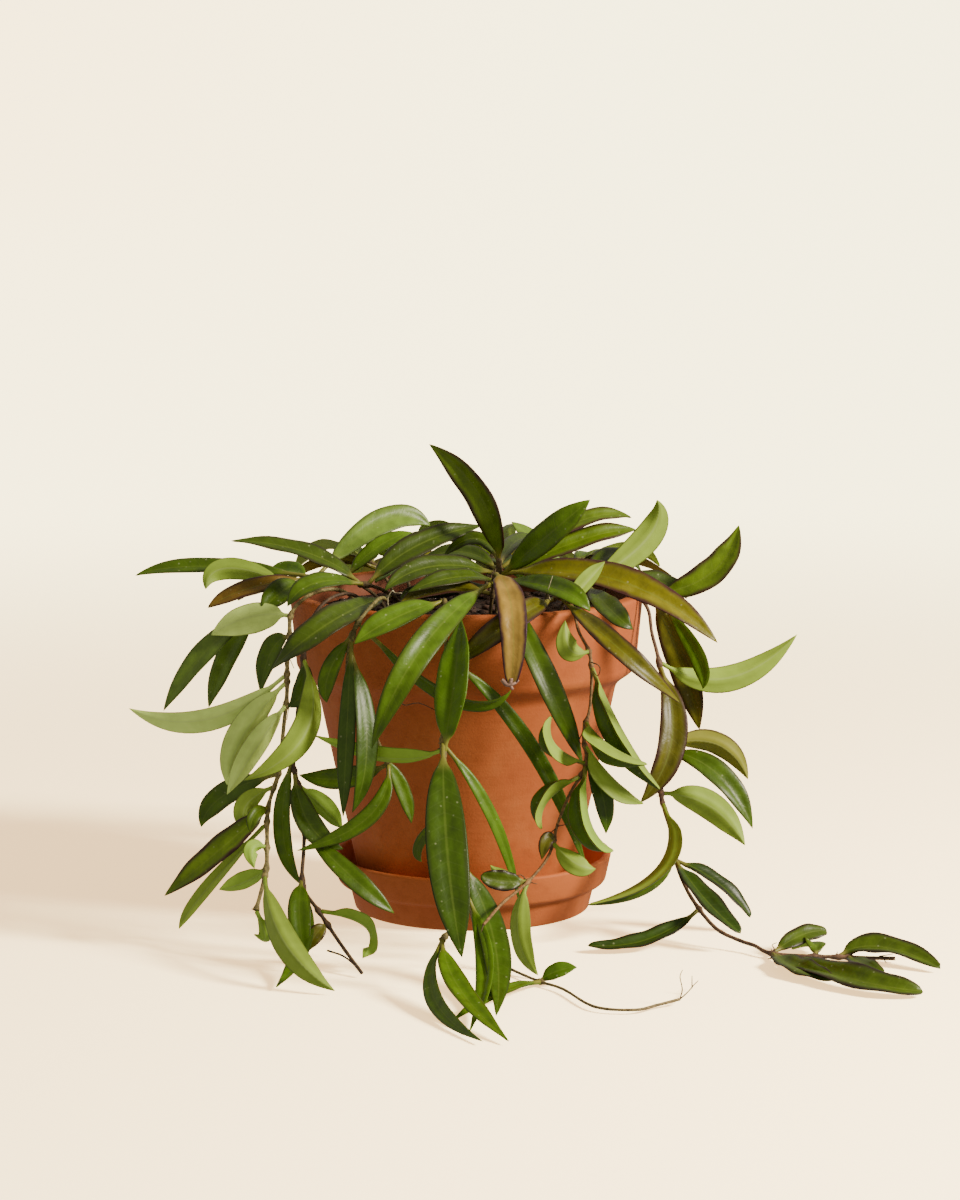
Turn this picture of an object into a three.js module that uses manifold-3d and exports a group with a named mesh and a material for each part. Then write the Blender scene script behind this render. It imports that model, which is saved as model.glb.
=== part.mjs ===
// Potted hoya: a clay pot on its saucer, filled with soil, with trailing leafy stems.
// Millimetres, +Z up. The origin is the centre of the saucer's underside, on the surface
// that everything rests on. The side seen first looks along +Y, with +X to the right.

import * as THREE from 'three';
import { mergeVertices } from 'three/addons/utils/BufferGeometryUtils.js';
import Module from 'manifold-3d';

const wasm = await Module();
wasm.setup();

// Driving dimensions of the clay pieces
const ROUND_SIDES = 48;
const EDGE_ROUND = 1.2;
const POT_OFFSET_X = -2.5;
const TOUCH_GAP = 0.3;

const SAUCER_BASE_RADIUS = 53.3;
const SAUCER_WALL_RADIUS = 56.0;
const SAUCER_RIM_RADIUS = 63.8;
const SAUCER_STEP_HEIGHT = 10.8;
const SAUCER_STEP_RISE = 1.6;
const SAUCER_STEP_INSET = 2.8;
const SAUCER_HEIGHT = 25.3;
const SAUCER_FLOOR = 7.7;
const SAUCER_LIP = 3.3;
const SAUCER_INNER_RADIUS = 52;

const POT_FOOT = SAUCER_FLOOR + TOUCH_GAP;
const POT_TOP = 145;
const POT_BASE_RADIUS = 47.8;
const POT_NECK_RADIUS = 68.4;
const POT_RIM_RADIUS = 80;
const RIM_BAND_DEPTH = 38;
const RIM_BAND_TAPER = 3.4;
const BAND_COVE = 3.2;
const BAND_ROUND = 6;
const POT_LIP = 6.8;
const POT_FLOOR = 9;
const DRAIN_RADIUS = 11;
const INNER_TOP_RADIUS = POT_RIM_RADIUS - POT_LIP;
const INNER_FLOOR_RADIUS = 42;
const INNER_FLOOR = POT_FOOT + POT_FLOOR;

const SOIL_TOP = 135;
const SOIL_CROWN = [[0.86, 1.5], [0.6, 2.5], [0.3, 3], [0, 3]];
const SOIL_BUMP = 1.6;
const SOIL_SIDES = 28;
const SOIL_GAP = 0.5;
const ROOT_DEPTH = 124;
const HOLE_RADIUS = 2.6;
const HOLE_LENGTH = 30;
const HOLE_SIDES = 6;

// Driving dimensions of the plant
const STEM_RADIUS = 1.2;
const STEM_SIDES = 5;
const STEM_STEP = 12;
const PETIOLE_RADIUS = 1.1;
const PETIOLE_SHARE = 0.1;
const LEAF_HALF_THICKNESS = 1;
const LEAF_FOLD = 0.22;
const BLADE_SKEW = 0.85;
const BLADE_FULLNESS = 0.6;
const LEAF_STATIONS = [0, PETIOLE_SHARE, 0.3, 0.55, 0.82];

const clay = () => new THREE.MeshStandardMaterial({ color: '#b5602f', roughness: 0.85, metalness: 0 });
const earth = () => new THREE.MeshStandardMaterial({ color: '#2e211c', roughness: 1, metalness: 0 });
const foliage = () => new THREE.MeshStandardMaterial({ color: '#4a6b12', roughness: 0.45, metalness: 0 });

// Turning closed meshes into solids that can be joined and cut, and back

function toSolid(geometry) {
  const bare = geometry.clone();
  bare.deleteAttribute('normal');
  bare.deleteAttribute('uv');
  const merged = mergeVertices(bare, 1e-4);
  return new wasm.Manifold(new wasm.Mesh({
    numProp: 3,
    vertProperties: new Float32Array(merged.attributes.position.array),
    triVerts: new Uint32Array(merged.index.array),
  }));
}

function fromSolid(solid) {
  const mesh = solid.getMesh();
  const geometry = new THREE.BufferGeometry();
  geometry.setAttribute('position', new THREE.BufferAttribute(mesh.vertProperties, 3));
  geometry.setIndex(new THREE.BufferAttribute(mesh.triVerts, 1));
  geometry.computeVertexNormals();
  return geometry;
}

function named(name, geometry, material) {
  const mesh = new THREE.Mesh(geometry, material);
  mesh.name = name;
  return mesh;
}

// A profile of [radius, height] pairs, turned about the upright axis
function turned(profile, sides) {
  const points = profile.map(([radius, height]) => new THREE.Vector2(radius, height));
  const geometry = new THREE.LatheGeometry(points, sides);
  geometry.rotateX(Math.PI / 2);
  return geometry;
}

// Saucer: a flat-bottomed dish with a stepped wall
function makeSaucer() {
  const rimInside = SAUCER_RIM_RADIUS - SAUCER_LIP;
  const profile = [
    [0, 0],
    [SAUCER_BASE_RADIUS, 0],
    [SAUCER_WALL_RADIUS, SAUCER_STEP_HEIGHT],
    [SAUCER_RIM_RADIUS - SAUCER_STEP_INSET, SAUCER_STEP_HEIGHT + SAUCER_STEP_RISE],
    [SAUCER_RIM_RADIUS, SAUCER_HEIGHT - EDGE_ROUND],
    [SAUCER_RIM_RADIUS - EDGE_ROUND, SAUCER_HEIGHT],
    [rimInside + EDGE_ROUND, SAUCER_HEIGHT],
    [rimInside, SAUCER_HEIGHT - EDGE_ROUND],
    [SAUCER_INNER_RADIUS, SAUCER_FLOOR + EDGE_ROUND],
    [SAUCER_INNER_RADIUS - EDGE_ROUND, SAUCER_FLOOR],
    [0, SAUCER_FLOOR],
  ];
  return turned(profile, ROUND_SIDES);
}

// Inner wall of the pot: a plain cone from the floor to the lip
function innerRadius(height) {
  const share = (height - INNER_FLOOR) / (POT_TOP - INNER_FLOOR);
  return INNER_FLOOR_RADIUS + (INNER_TOP_RADIUS - INNER_FLOOR_RADIUS) * share;
}

// Pot: a tapered body with a deep rim band and a drainage hole in its floor
function makePot() {
  const bandFoot = POT_TOP - RIM_BAND_DEPTH;
  const bandRadius = POT_RIM_RADIUS - RIM_BAND_TAPER;
  const profile = [
    [DRAIN_RADIUS, POT_FOOT],
    [POT_BASE_RADIUS - EDGE_ROUND, POT_FOOT],
    [POT_BASE_RADIUS, POT_FOOT + EDGE_ROUND],
    [POT_NECK_RADIUS, bandFoot - EDGE_ROUND],
    [POT_NECK_RADIUS + BAND_COVE, bandFoot],
    [bandRadius - EDGE_ROUND, bandFoot + BAND_COVE],
    [bandRadius, bandFoot + BAND_ROUND],
    [POT_RIM_RADIUS, POT_TOP - EDGE_ROUND],
    [POT_RIM_RADIUS - EDGE_ROUND, POT_TOP],
    [INNER_TOP_RADIUS + EDGE_ROUND, POT_TOP],
    [INNER_TOP_RADIUS, POT_TOP - EDGE_ROUND],
    [INNER_FLOOR_RADIUS, INNER_FLOOR],
    [DRAIN_RADIUS, INNER_FLOOR],
    [DRAIN_RADIUS, POT_FOOT],
  ];
  const geometry = turned(profile, ROUND_SIDES);
  geometry.translate(POT_OFFSET_X, 0, 0);
  return geometry;
}

// Soil: fills the pot to just under the lip, lumpy on top, with a plain hole for each root
function soilBump(x, y) {
  const longWave = Math.sin(x / 5 + 1.3) * Math.cos(y / 6);
  const shortWave = Math.sin((x - y) / 3);
  return SOIL_BUMP * (longWave + shortWave / 2);
}

function makeSoil(roots) {
  const foot = INNER_FLOOR + TOUCH_GAP;
  const edge = innerRadius(SOIL_TOP) - SOIL_GAP;
  const profile = [
    [0, foot],
    [innerRadius(foot) - SOIL_GAP, foot],
    [edge, SOIL_TOP],
    ...SOIL_CROWN.map(([share, rise]) => [edge * share, SOIL_TOP + rise]),
  ];
  const geometry = turned(profile, SOIL_SIDES);
  const place = geometry.attributes.position;
  for (let i = 0; i < place.count; i += 1) {
    const [x, y, z] = [place.getX(i), place.getY(i), place.getZ(i)];
    const isCrown = z > SOIL_TOP + 1 && Math.hypot(x, y) > 1;
    if (isCrown) place.setZ(i, z + soilBump(x, y));
  }
  geometry.translate(POT_OFFSET_X, 0, 0);
  let soil = toSolid(geometry);
  for (const [x, y, z] of roots) {
    const hole = new THREE.CylinderGeometry(HOLE_RADIUS, HOLE_RADIUS, HOLE_LENGTH, HOLE_SIDES);
    hole.rotateX(Math.PI / 2);
    hole.translate(x, y, z - TOUCH_GAP + HOLE_LENGTH / 2);
    soil = soil.subtract(toSolid(hole));
  }
  return fromSolid(soil);
}

// Half the width of a blade, as a share of its widest, from petiole to tip
function bladeShare(t) {
  const along = (t - PETIOLE_SHARE) / (1 - PETIOLE_SHARE);
  return Math.sin(Math.PI * along ** BLADE_SKEW) ** BLADE_FULLNESS;
}

// A leaf is one thick folded blade on a short petiole. Its midrib is a curve through its base,
// its middle and its tip, and every cross-section is a four-cornered chevron.
function leafGeometry(base, middle, tip, width, faces, fold) {
  const bend = middle.clone().multiplyScalar(2).sub(base.clone().add(tip).multiplyScalar(0.5));
  const midrib = new THREE.QuadraticBezierCurve3(base, bend, tip);
  const points = [];
  for (const t of LEAF_STATIONS) {
    const centre = midrib.getPoint(t);
    const along = midrib.getTangent(t);
    const side = new THREE.Vector3().crossVectors(along, faces).normalize();
    const up = new THREE.Vector3().crossVectors(side, along);
    const isPetiole = t <= PETIOLE_SHARE;
    const half = isPetiole ? PETIOLE_RADIUS : bladeShare(t) * width / 2;
    const thick = isPetiole ? PETIOLE_RADIUS : LEAF_HALF_THICKNESS;
    const lift = isPetiole ? 0 : half * fold;
    const corner = (across, above) => centre.clone().addScaledVector(side, across).addScaledVector(up, above);
    points.push(corner(-half, lift), corner(0, thick), corner(half, lift), corner(0, -thick));
  }
  points.push(tip.clone());
  const faceList = [0, 2, 1, 0, 3, 2];
  const last = LEAF_STATIONS.length - 1;
  for (let ring = 0; ring < last; ring += 1) {
    for (let edge = 0; edge < 4; edge += 1) {
      const here = ring * 4 + edge;
      const next = ring * 4 + (edge + 1) % 4;
      const isRightHalf = edge === 1 || edge === 2;
      const quad = isRightHalf
        ? [here, next, here + 4, next, next + 4, here + 4]
        : [here, next + 4, here + 4, here, next, next + 4];
      faceList.push(...quad);
    }
  }
  for (let edge = 0; edge < 4; edge += 1) {
    faceList.push(last * 4 + edge, last * 4 + (edge + 1) % 4, points.length - 1);
  }
  const geometry = new THREE.BufferGeometry().setFromPoints(points);
  geometry.setIndex(faceList);
  return geometry;
}

// A stem is a slim tube along its route
function stemGeometry(route) {
  const section = new THREE.Shape();
  for (let i = 0; i < STEM_SIDES; i += 1) {
    const turn = i * 2 * Math.PI / STEM_SIDES;
    const corner = [STEM_RADIUS * Math.cos(turn), STEM_RADIUS * Math.sin(turn)];
    if (i === 0) section.moveTo(...corner);
    else section.lineTo(...corner);
  }
  const steps = Math.ceil(route.getLength() / STEM_STEP);
  return new THREE.ExtrudeGeometry(section, { steps, extrudePath: route, bevelEnabled: false });
}

const vector = ([x, y, z]) => new THREE.Vector3(x, y, z);

function routeOf(points) {
  return new THREE.CatmullRomCurve3(points.map(vector), false, 'catmullrom', 0.5);
}

// All of a stem's shoots and leaves, joined in one solid
function leafyStem(shoots) {
  const pieces = [];
  for (const { route, leaves } of shoots) {
    const curve = routeOf(route);
    pieces.push(toSolid(stemGeometry(curve)));
    for (const [place, middle, tip, width, faces, fold = LEAF_FOLD] of leaves) {
      const base = curve.getPoint(place / (route.length - 1));
      const facing = vector(faces).normalize();
      pieces.push(toSolid(leafGeometry(base, vector(middle), vector(tip), width, facing, fold)));
    }
  }
  return fromSolid(wasm.Manifold.union(pieces));
}

// Each stem has one or more shoots. A shoot is a route of points from its root or fork, and
// leaves. A leaf row holds its place on the route (2.5 is halfway between points 2 and 3),
// the middle of its midrib, its tip, its width, the way that its upper face looks and, where
// the leaf is folded more than usual, how far its edges rise as a share of half its width.

const crown = [{
  route: [[11, -20, ROOT_DEPTH], [11, -20, 139], [12, -24, 152], [12, -27, 164]],
  leaves: [
    [2.6, [4.9, -30, 190], [-19, -25, 214], 13, [-0.5, -1, 0.1], 0.5],
    [2.2, [34, -38, 175], [52, -40, 191], 13, [-0.2, -1, 0.4]],
    [2.5, [47, -12, 177], [72, 0, 178], 10, [0, -0.7, 0.9]],
    [2.2, [48, -14, 169], [74, -4, 173], 11, [0, -0.8, 0.8]],
    [2.1, [37, -66, 155], [51, -78, 147], 11, [0, -1, 0.8]],
    [2.3, [-17, -48, 162], [-38, -66, 154], 12, [0, -0.9, 0.8]],
    [2.0, [-7, -54, 158], [-28, -64, 153], 10, [0, -0.8, 0.9]],
    [2.8, [1.8, -22, 171], [-13, -22, 163], 8, [0, -0.7, 0.8]],
    [2.3, [64, -50, 156], [107, -64, 131], 15, [0.1, -1, 0.9]],
    [1.9, [-16, -50, 151], [-31, -58, 149], 11, [0, -0.8, 0.8]],
    [2.4, [-4.5, -8, 163], [-24, -4, 158], 10, [0, -0.6, 0.9]],
    [2.6, [22, 14, 166], [33, 24, 161], 10, [0, -0.4, 1]],
  ],
}];

const crownFront = [{
  route: [[8, -48, ROOT_DEPTH], [8, -48, 139], [9, -54, 151], [10, -60, 161]],
  leaves: [
    [3, [17, -91, 150], [17, -101, 118], 12.5, [0, -1, 2]],
    [2.6, [-21, -118, 137], [-42, -122, 95], 12.5, [0.2, -1, 0.6]],
    [3, [31, -94, 121], [48, -82, 81], 11, [0.3, -1, 0.4]],
    [2, [-14, -54, 153], [-32, -66, 147], 10, [0, -0.7, 1]],
  ],
}];

const crownRight = [{
  route: [[40, -14, ROOT_DEPTH], [40, -14, 139], [46, -21, 148], [56, -27, 152], [68, -26, 151],
    [80, -22, 146], [87, -21, 140]],
  leaves: [
    [2.2, [63, 0, 161], [77, 8, 152], 9, [0, -0.6, 0.9]],
    [2.3, [78, -8, 169], [83, -6, 187], 13, [0, 1, -0.1], 0.35],
    [3, [82, -16, 151], [96, -20, 144], 11, [0, -0.7, 0.9]],
    [5, [107, -22, 156], [119, -18, 177], 13, [-0.3, -1, 0.3]],
    [2.6, [59, -78, 148], [69, -90, 141], 11, [0, -1, 0.7]],
    [5, [94, -20, 115], [102, -22, 85], 13, [-0.2, -1, 0.1], 0.3],
    [5.6, [100, -36, 121], [102, -42, 107], 8, [-0.4, -1, 0.2]],
  ],
}];

const crownLeft = [{
  route: [[-30, -26, ROOT_DEPTH], [-30, -26, 139], [-36, -34, 148], [-44, -42, 153], [-50, -44, 154]],
  leaves: [
    [3.8, [-73, -40, 167], [-106, -42, 173], 11, [0, -0.6, 1]],
    [3.3, [-24, -30, 169], [4.9, -12, 176], 12, [0, -1, 0.8]],
    [1.9, [-60, -84, 143], [-86, -88, 123], 14.5, [0, -0.9, 1]],
    [3.5, [-68, -58, 156], [-80, -64, 147], 10.5, [0, -0.8, 1]],
  ],
}];

const leftFan = [{
  route: [[-40, -4, ROOT_DEPTH], [-40, -4, 139], [-54, -11, 151], [-68, -18, 154], [-80, -21, 150],
    [-90, -25, 144], [-97, -28, 138]],
  leaves: [
    [3.2, [-120, -4, 156], [-152, -2, 152], 9.5, [0, -0.8, 1]],
    [4, [-109, -14, 157], [-119, -18, 148], 10, [0, 1, -0.2]],
    [3.6, [-85, -32, 148], [-93, -40, 141], 12, [0, -1, 0.6]],
    [3.4, [-98, -30, 150], [-117, -34, 142], 9, [0, -0.8, 0.7]],
    [3.5, [-82, -6, 155], [-93, -4, 153], 9, [0, -0.8, 0.8]],
    [4.5, [-98, -14, 148], [-105, -12, 142], 10, [0, -0.8, 1]],
    [6, [-118, -34, 122], [-137, -36, 96], 11.5, [-0.6, -1, 0.5]],
    [5.6, [-108, -22, 120], [-118, -22, 95], 11, [-0.4, -1, 0.4]],
    [3.1, [-40, 8, 175], [-19, 18, 172], 13, [0, -1, 0.6]],
    [2.2, [-42, -4, 165], [-27, 3, 171], 9, [0, -0.8, 1]],
  ],
}];

const leftTrailing = [{
  route: [[-48, -22, ROOT_DEPTH], [-48, -22, 139], [-58, -29, 149], [-70, -37, 149], [-79, -45, 142],
    [-80, -50, 132], [-81, -52, 118], [-81, -56, 107], [-82, -60, 96], [-83, -66, 85], [-84, -74, 75],
    [-88, -84, 62], [-88, -94, 48], [-88, -100, 39], [-90, -106, 30], [-92, -110, 23]],
  leaves: [
    [4.2, [-98, -42, 139], [-115, -42, 131], 14, [0, 1, -0.4]],
    [5, [-88, -46, 124], [-93, -48, 106], 11, [-0.6, -1, 0.3]],
    [6.2, [-117, -46, 94], [-152, -40, 98], 10.5, [0, 1, -0.3]],
    [6.5, [-100, -60, 90], [-107, -64, 68], 13, [-0.4, 1, -0.1]],
    [7.4, [-94, -72, 86], [-106, -80, 67], 10.5, [-0.4, 1, -0.1]],
    [10, [-109, -58, 62], [-119, -58, 48], 11, [-0.3, -1, 0.3]],
    [10.4, [-98, -82, 62], [-95, -88, 51], 9.5, [0, 1, 0]],
    [11, [-93, -94, 61], [-95, -97, 54], 6, [0, -1, 0.3]],
    [11, [-108, -90, 45], [-133, -88, 24], 11.5, [0, -1, 0.8]],
    [11.4, [-116, -76, 24], [-128, -74, 6], 6, [0, 1, 0.2]],
    [12.1, [-94, -98, 47], [-93, -101, 39], 7, [-0.3, 1, 0]],
    [13, [-98, -95, 32], [-109, -93, 28], 8.5, [0, 1, 0.3]],
    [13.3, [-78, -149, 19], [-56, -166, 2], 11.5, [0.5, 0.5, -0.7]],
    [15, [-88, -112, 12], [-93, -108, 12], 6, [0, 0.8, 0.3]],
  ],
}];

const leftInner = [{
  route: [[-42, -36, ROOT_DEPTH], [-42, -36, 139], [-53, -47, 150], [-64, -57, 148], [-71, -61, 137],
    [-74, -63, 119], [-76, -68, 99], [-77, -80, 80], [-72, -88, 64], [-72, -98, 47], [-72, -108, 33],
    [-65, -116, 24], [-55, -124, 11], [-46, -137, 2.2]],
  leaves: [
    [4.75, [-71, -92, 97], [-98, -94, 76], 12.5, [-0.4, 1, -0.1]],
    [6.8, [-81, -90, 54], [-73, -98, 31], 9, [-0.5, -1, 0]],
    [9.8, [-73, -120, 23], [-70, -128, 6], 10, [0.1, -1, 0.2]],
    [10, [-71, -127, 12], [-81, -160, 2], 8.5, [-0.3, -1, 1]],
    [7.15, [-70, -94, 57], [-55, -98, 47], 11, [0.3, -1, 0.3]],
    [7.5, [-64, -82, 62], [-56, -88, 54], 9, [0.2, 1, 0]],
    [8.6, [-51, -106, 36], [-33, -108, 21], 9.5, [0.2, -1, 0.6]],
    [11, [-44, -124, 19], [-46, -131, 7], 13, [0.7, 0.7, 1]],
    [11.4, [-66, -122, 15], [-69, -126, 9], 7, [0, -1, 0.3]],
    [4.7, [-73, -68, 111], [-80, -71, 104], 9, [-0.3, -1, 0.3]],
  ],
}, {
  route: [[-48, -134, 4], [-54, -129, 7.5], [-61, -125, 9]],
  leaves: [],
}];

const leftFront = [{
  route: [[-34, -44, ROOT_DEPTH], [-34, -44, 139], [-38, -60, 150], [-43, -74, 149], [-51, -83, 138],
    [-53, -87, 118], [-44, -88, 100], [-36, -87, 82]],
  leaves: [
    [4.1, [-53, -98, 96], [-55, -99, 61], 8.5, [-0.5, -1, 0.2]],
    [4.3, [-45, -101, 95], [-51, -104, 64], 10.5, [0.6, -1, 0.2]],
    [4, [-61, -88, 122], [-62, -89, 109], 8, [0, -1, 0.4]],
    [3.7, [-8, -95, 113], [17, -97, 116], 8, [0, -0.8, -0.6], 0.6],
    [7, [-55, -80, 74], [-75, -76, 75], 10, [0, -1, 0.5]],
    [7, [-44, -98, 61], [-75, -102, 47], 8, [0, -1, 0.4]],
    [6.8, [-30, -86, 70], [-26, -88, 56], 7, [0.4, -1, 0.3]],
  ],
}];

const frontTrailing = [{
  route: [[-12, -50, ROOT_DEPTH], [-12, -50, 139], [-12, -66, 150], [-11, -84, 147], [-11, -93, 130],
    [-11, -103, 112], [-12, -112, 93], [-8, -120, 74], [-6, -128, 54], [-2, -137, 36], [-7, -150, 27],
    [-12, -160, 22]],
  leaves: [
    [5.8, [-10, -148, 57], [-3.8, -166, 16], 17.5, [0, -1, 0.5]],
    [5.9, [8, -110, 64], [21, -96, 21], 6, [0.6, -1, 0.2]],
    [6.1, [-7, -105, 120], [-4.5, -84, 145], 15.5, [-0.5, -1, 0.1], 0.4],
    [6, [-37, -97, 87], [-68, -84, 94], 9, [0, 1, 0.5]],
    [4, [25, -83, 89], [51, -79, 30], 7.5, [0.3, -1, 0.4]],
    [7.2, [-21, -120, 55], [-21, -119, 46], 5, [-0.4, -1, 0.4]],
    [2.3, [-33, -88, 145], [-50, -99, 136], 13, [0, -0.9, 1]],
    [8.2, [9, -148, 20], [10, -206, 2], 12.5, [0.2, -0.8, 1]],
    [9, [6, -165, 12], [-0.7, -229, 2], 8, [-0.4, -0.5, 1]],
    [10.8, [-15, -194, 7], [4.8, -244, 2], 7.5, [-0.8, -0.5, 1]],
    [11, [-4.9, -194, 10], [15, -244, 2], 10, [0.2, -0.8, 1]],
  ],
}, {
  route: [[-2, -137, 36], [2, -126, 18], [9, -124, 5], [17, -132, 2.5], [24, -143, 2], [29, -151, 2],
    [38, -163, 2], [50, -191, 2], [66, -196, 2], [76, -188, 2], [85, -183, 3]],
  leaves: [
    [5, [12, -177, 4], [-8, -215, 2], 7, [0, -0.4, 1]],
    [4.9, [36, -150, 6], [44, -150, 8], 8, [0, -0.8, 1]],
  ],
}];

const rightFront = [{
  route: [[30, -40, ROOT_DEPTH], [30, -40, 139], [36, -54, 149], [43, -72, 149], [46, -82, 139],
    [51, -85, 128], [51, -87, 108], [48, -90, 96], [49, -92, 83], [42, -94, 70], [37, -97, 58],
    [33, -102, 45], [24, -113, 36], [13, -140, 33], [5, -162, 29]],
  leaves: [
    [2.4, [62, -104, 135], [89, -96, 110], 10, [0, -1, 0.8]],
    [2.8, [50, -63, 158], [58, -58, 166], 8, [-0.3, 1, 0]],
    [2, [16, -87, 143], [-8, -86, 124], 11, [0.2, -1, 0.6], 0.7],
    [4.8, [42, -93, 133], [40, -90, 145], 10, [-0.3, 1, 0], 0.35],
    [5.2, [64, -96, 98], [81, -94, 72], 12, [-0.8, -0.65, -0.45], 1],
    [6.6, [58, -104, 93], [75, -104, 85], 12, [-0.5, -0.5, -0.8], 0.9],
    [7.4, [60, -94, 77], [74, -90, 65], 12, [-0.7, 0.5, -0.5], 0.6],
    [8, [50, -102, 60], [61, -98, 46], 12, [-0.9, -0.6, -0.3], 1],
    [8, [56, -88, 68], [58, -86, 51], 10, [0.6, -1, 0.1]],
    [8, [35, -102, 93], [34, -98, 105], 9.5, [-0.9, -0.35, -0.45], 0.9],
    [8.4, [32, -102, 69], [30, -100, 56], 9.5, [-0.9, -0.3, 0.3], 0.9],
    [10.6, [44, -108, 43], [53, -106, 40], 9.5, [0, 0.9, -0.4], 0.3],
    [10.5, [32, -104, 52], [30, -106, 44], 6, [0, -1, 0.2]],
    [12, [20, -126, 17], [28, -140, 2], 11, [0.5, 0.85, 0], 0.25],
    [12, [12, -116, 37], [4, -118, 40], 9, [0, -1, 0.4]],
    [12, [14, -114, 38], [8, -112, 43], 6, [0.2, 1, 0.2]],
  ],
}];

const rightTrailing = [{
  route: [[52, -10, ROOT_DEPTH], [52, -10, 139], [62, -16, 149], [70, -22, 149], [78, -26, 141],
    [80, -30, 130], [83, -34, 118], [85, -36, 101], [86, -38, 81], [84, -42, 60], [88, -46, 44],
    [90, -52, 32], [94, -62, 22], [100, -74, 14], [107, -84, 8], [116, -91, 5], [122, -96, 4],
    [129, -104, 2.4], [147, -107, 2], [163, -109, 2], [181, -111, 2]],
  leaves: [
    [6, [114, -31, 110], [145, -26, 129], 12, [0, 1, -0.3]],
    [6.1, [88, -50, 86], [74, -58, 59], 13, [0.2, -1, 0.2]],
    [8, [109, -36, 81], [123, -36, 65], 10.5, [0, 1, 0.1]],
    [8.1, [109, -48, 69], [124, -52, 46], 12, [0.3, -1, 0.7]],
    [9, [106, -36, 53], [122, -36, 35], 13, [-0.3, 1, 0.2], 0.3],
    [9.2, [83, -66, 33], [50, -84, 19], 12, [0.7, -0.3, -0.6], 0.8],
    [11, [101, -78, 20], [116, -95, 9], 12, [0.6, -1, 0.9]],
    [11, [109, -54, 21], [123, -57, 7], 10.5, [0.3, -0.4, 1]],
    [12.9, [76, -88, 4.1], [50, -94, 3.5], 9.5, [0, -0.5, 1]],
    [17, [143, -94, 8], [154, -88, 8], 9, [0, -0.8, 0.8], 0.25],
    [17, [137, -134, 3.2], [151, -149, 2.3], 12, [0, -0.6, 1]],
    [17, [157, -154, 3.6], [186, -168, 2.1], 15, [0, -0.6, 1]],
    [18, [147, -96, 4.2], [138, -94, 2], 10, [0, 0.5, 0.9]],
    [18.6, [175, -109, 6], [198, -129, 2], 13, [0, -0.5, 1]],
    [18.9, [165, -131, 3.8], [173, -141, 2.9], 9, [0, -0.4, 1]],
  ],
}];

const crownBack = [{
  route: [[6, 34, ROOT_DEPTH], [6, 34, 139], [8, 40, 150], [10, 46, 157]],
  leaves: [
    [2.9, [14, 72, 164], [18, 104, 150], 12, [0, 1, 2]],
    [2.6, [-12, 64, 164], [-26, 88, 156], 13, [0, 1, 1]],
    [2.3, [34, 64, 156], [50, 86, 140], 12, [0.4, 1, 1]],
    [2.1, [34, 47, 160], [54, 60, 162], 12, [0, 0.5, 1]],
    [2.8, [-14, 44, 163], [-38, 46, 160], 11, [0, 0.6, 1]],
    [2.2, [8, 84, 149], [6, 104, 122], 13, [0, 1, 0.8]],
    [2.1, [14, 27, 154], [24, 10, 147], 12, [0, -0.3, 1]],
    [1.9, [-8, 24, 152], [-22, 8, 147], 12, [0, -0.3, 1]],
  ],
}];

const crownBackLeft = [{
  route: [[-36, 26, ROOT_DEPTH], [-36, 26, 139], [-42, 32, 149], [-48, 38, 153]],
  leaves: [
    [3, [-68, 58, 157], [-84, 72, 144], 12, [-0.3, 1, 1]],
    [2.6, [-52, 72, 152], [-60, 96, 132], 13, [0, 1, 0.8]],
    [2.4, [-32, 58, 160], [-34, 82, 158], 11, [0, 0.8, 1]],
    [2.2, [-66, 32, 153], [-88, 34, 142], 12, [-0.3, 0.4, 1]],
    [2, [-36, 14, 153], [-44, -4, 149], 12, [0, -0.3, 1]],
  ],
}];

const crownBackRight = [{
  route: [[34, 20, ROOT_DEPTH], [34, 20, 139], [42, 26, 150], [50, 30, 154]],
  leaves: [
    [3, [70, 44, 158], [88, 58, 148], 12, [0.3, 0.6, 1]],
    [2.6, [58, 64, 152], [70, 84, 134], 13, [0.2, 1, 0.8]],
    [2.4, [68, 22, 156], [92, 20, 148], 11, [0.2, 0.3, 1]],
    [2.1, [30, 30, 162], [18, 34, 172], 10, [0, -0.6, 1]],
    [2, [46, 12, 153], [50, -2, 147], 12, [0, -0.3, 1]],
  ],
}];

// The side away from the first view is covered by stems that follow courses like those in
// front. Each is turned about the pot's axis.
function likeCourse(shoots, angle) {
  const turn = THREE.MathUtils.degToRad(angle);
  const direction = ([x, y, z]) => [
    x * Math.cos(turn) - y * Math.sin(turn),
    x * Math.sin(turn) + y * Math.cos(turn),
    z,
  ];
  const point = ([x, y, z]) => {
    const [turnedX, turnedY] = direction([x - POT_OFFSET_X, y, z]);
    return [turnedX + POT_OFFSET_X, turnedY, z];
  };
  return shoots.map(({ route, leaves }) => ({
    route: route.map(point),
    leaves: leaves.map(([place, middle, tip, width, faces, fold]) => (
      [place, point(middle), point(tip), width, direction(faces), fold])),
  }));
}

const plant = {
  crown_back_stem: crownBack,
  crown_back_left_stem: crownBackLeft,
  crown_back_right_stem: crownBackRight,
  back_left_trailing_stem: likeCourse(rightFront, 172),
  back_right_trailing_stem: likeCourse(leftInner, 216),
  crown_stem: crown,
  crown_front_stem: crownFront,
  crown_right_stem: crownRight,
  crown_left_stem: crownLeft,
  left_fan_stem: leftFan,
  left_trailing_stem: leftTrailing,
  left_inner_stem: leftInner,
  left_front_stem: leftFront,
  front_trailing_stem: frontTrailing,
  right_front_stem: rightFront,
  right_trailing_stem: rightTrailing,
};

const object = new THREE.Group();
object.name = 'potted_hoya';
const roots = Object.values(plant).map(([first]) => first.route[0]);
object.add(named('saucer', makeSaucer(), clay()));
object.add(named('pot', makePot(), clay()));
object.add(named('soil', makeSoil(roots), earth()));
for (const [name, shoots] of Object.entries(plant)) {
  object.add(named(name, leafyStem(shoots), foliage()));
}

export default object;
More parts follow.
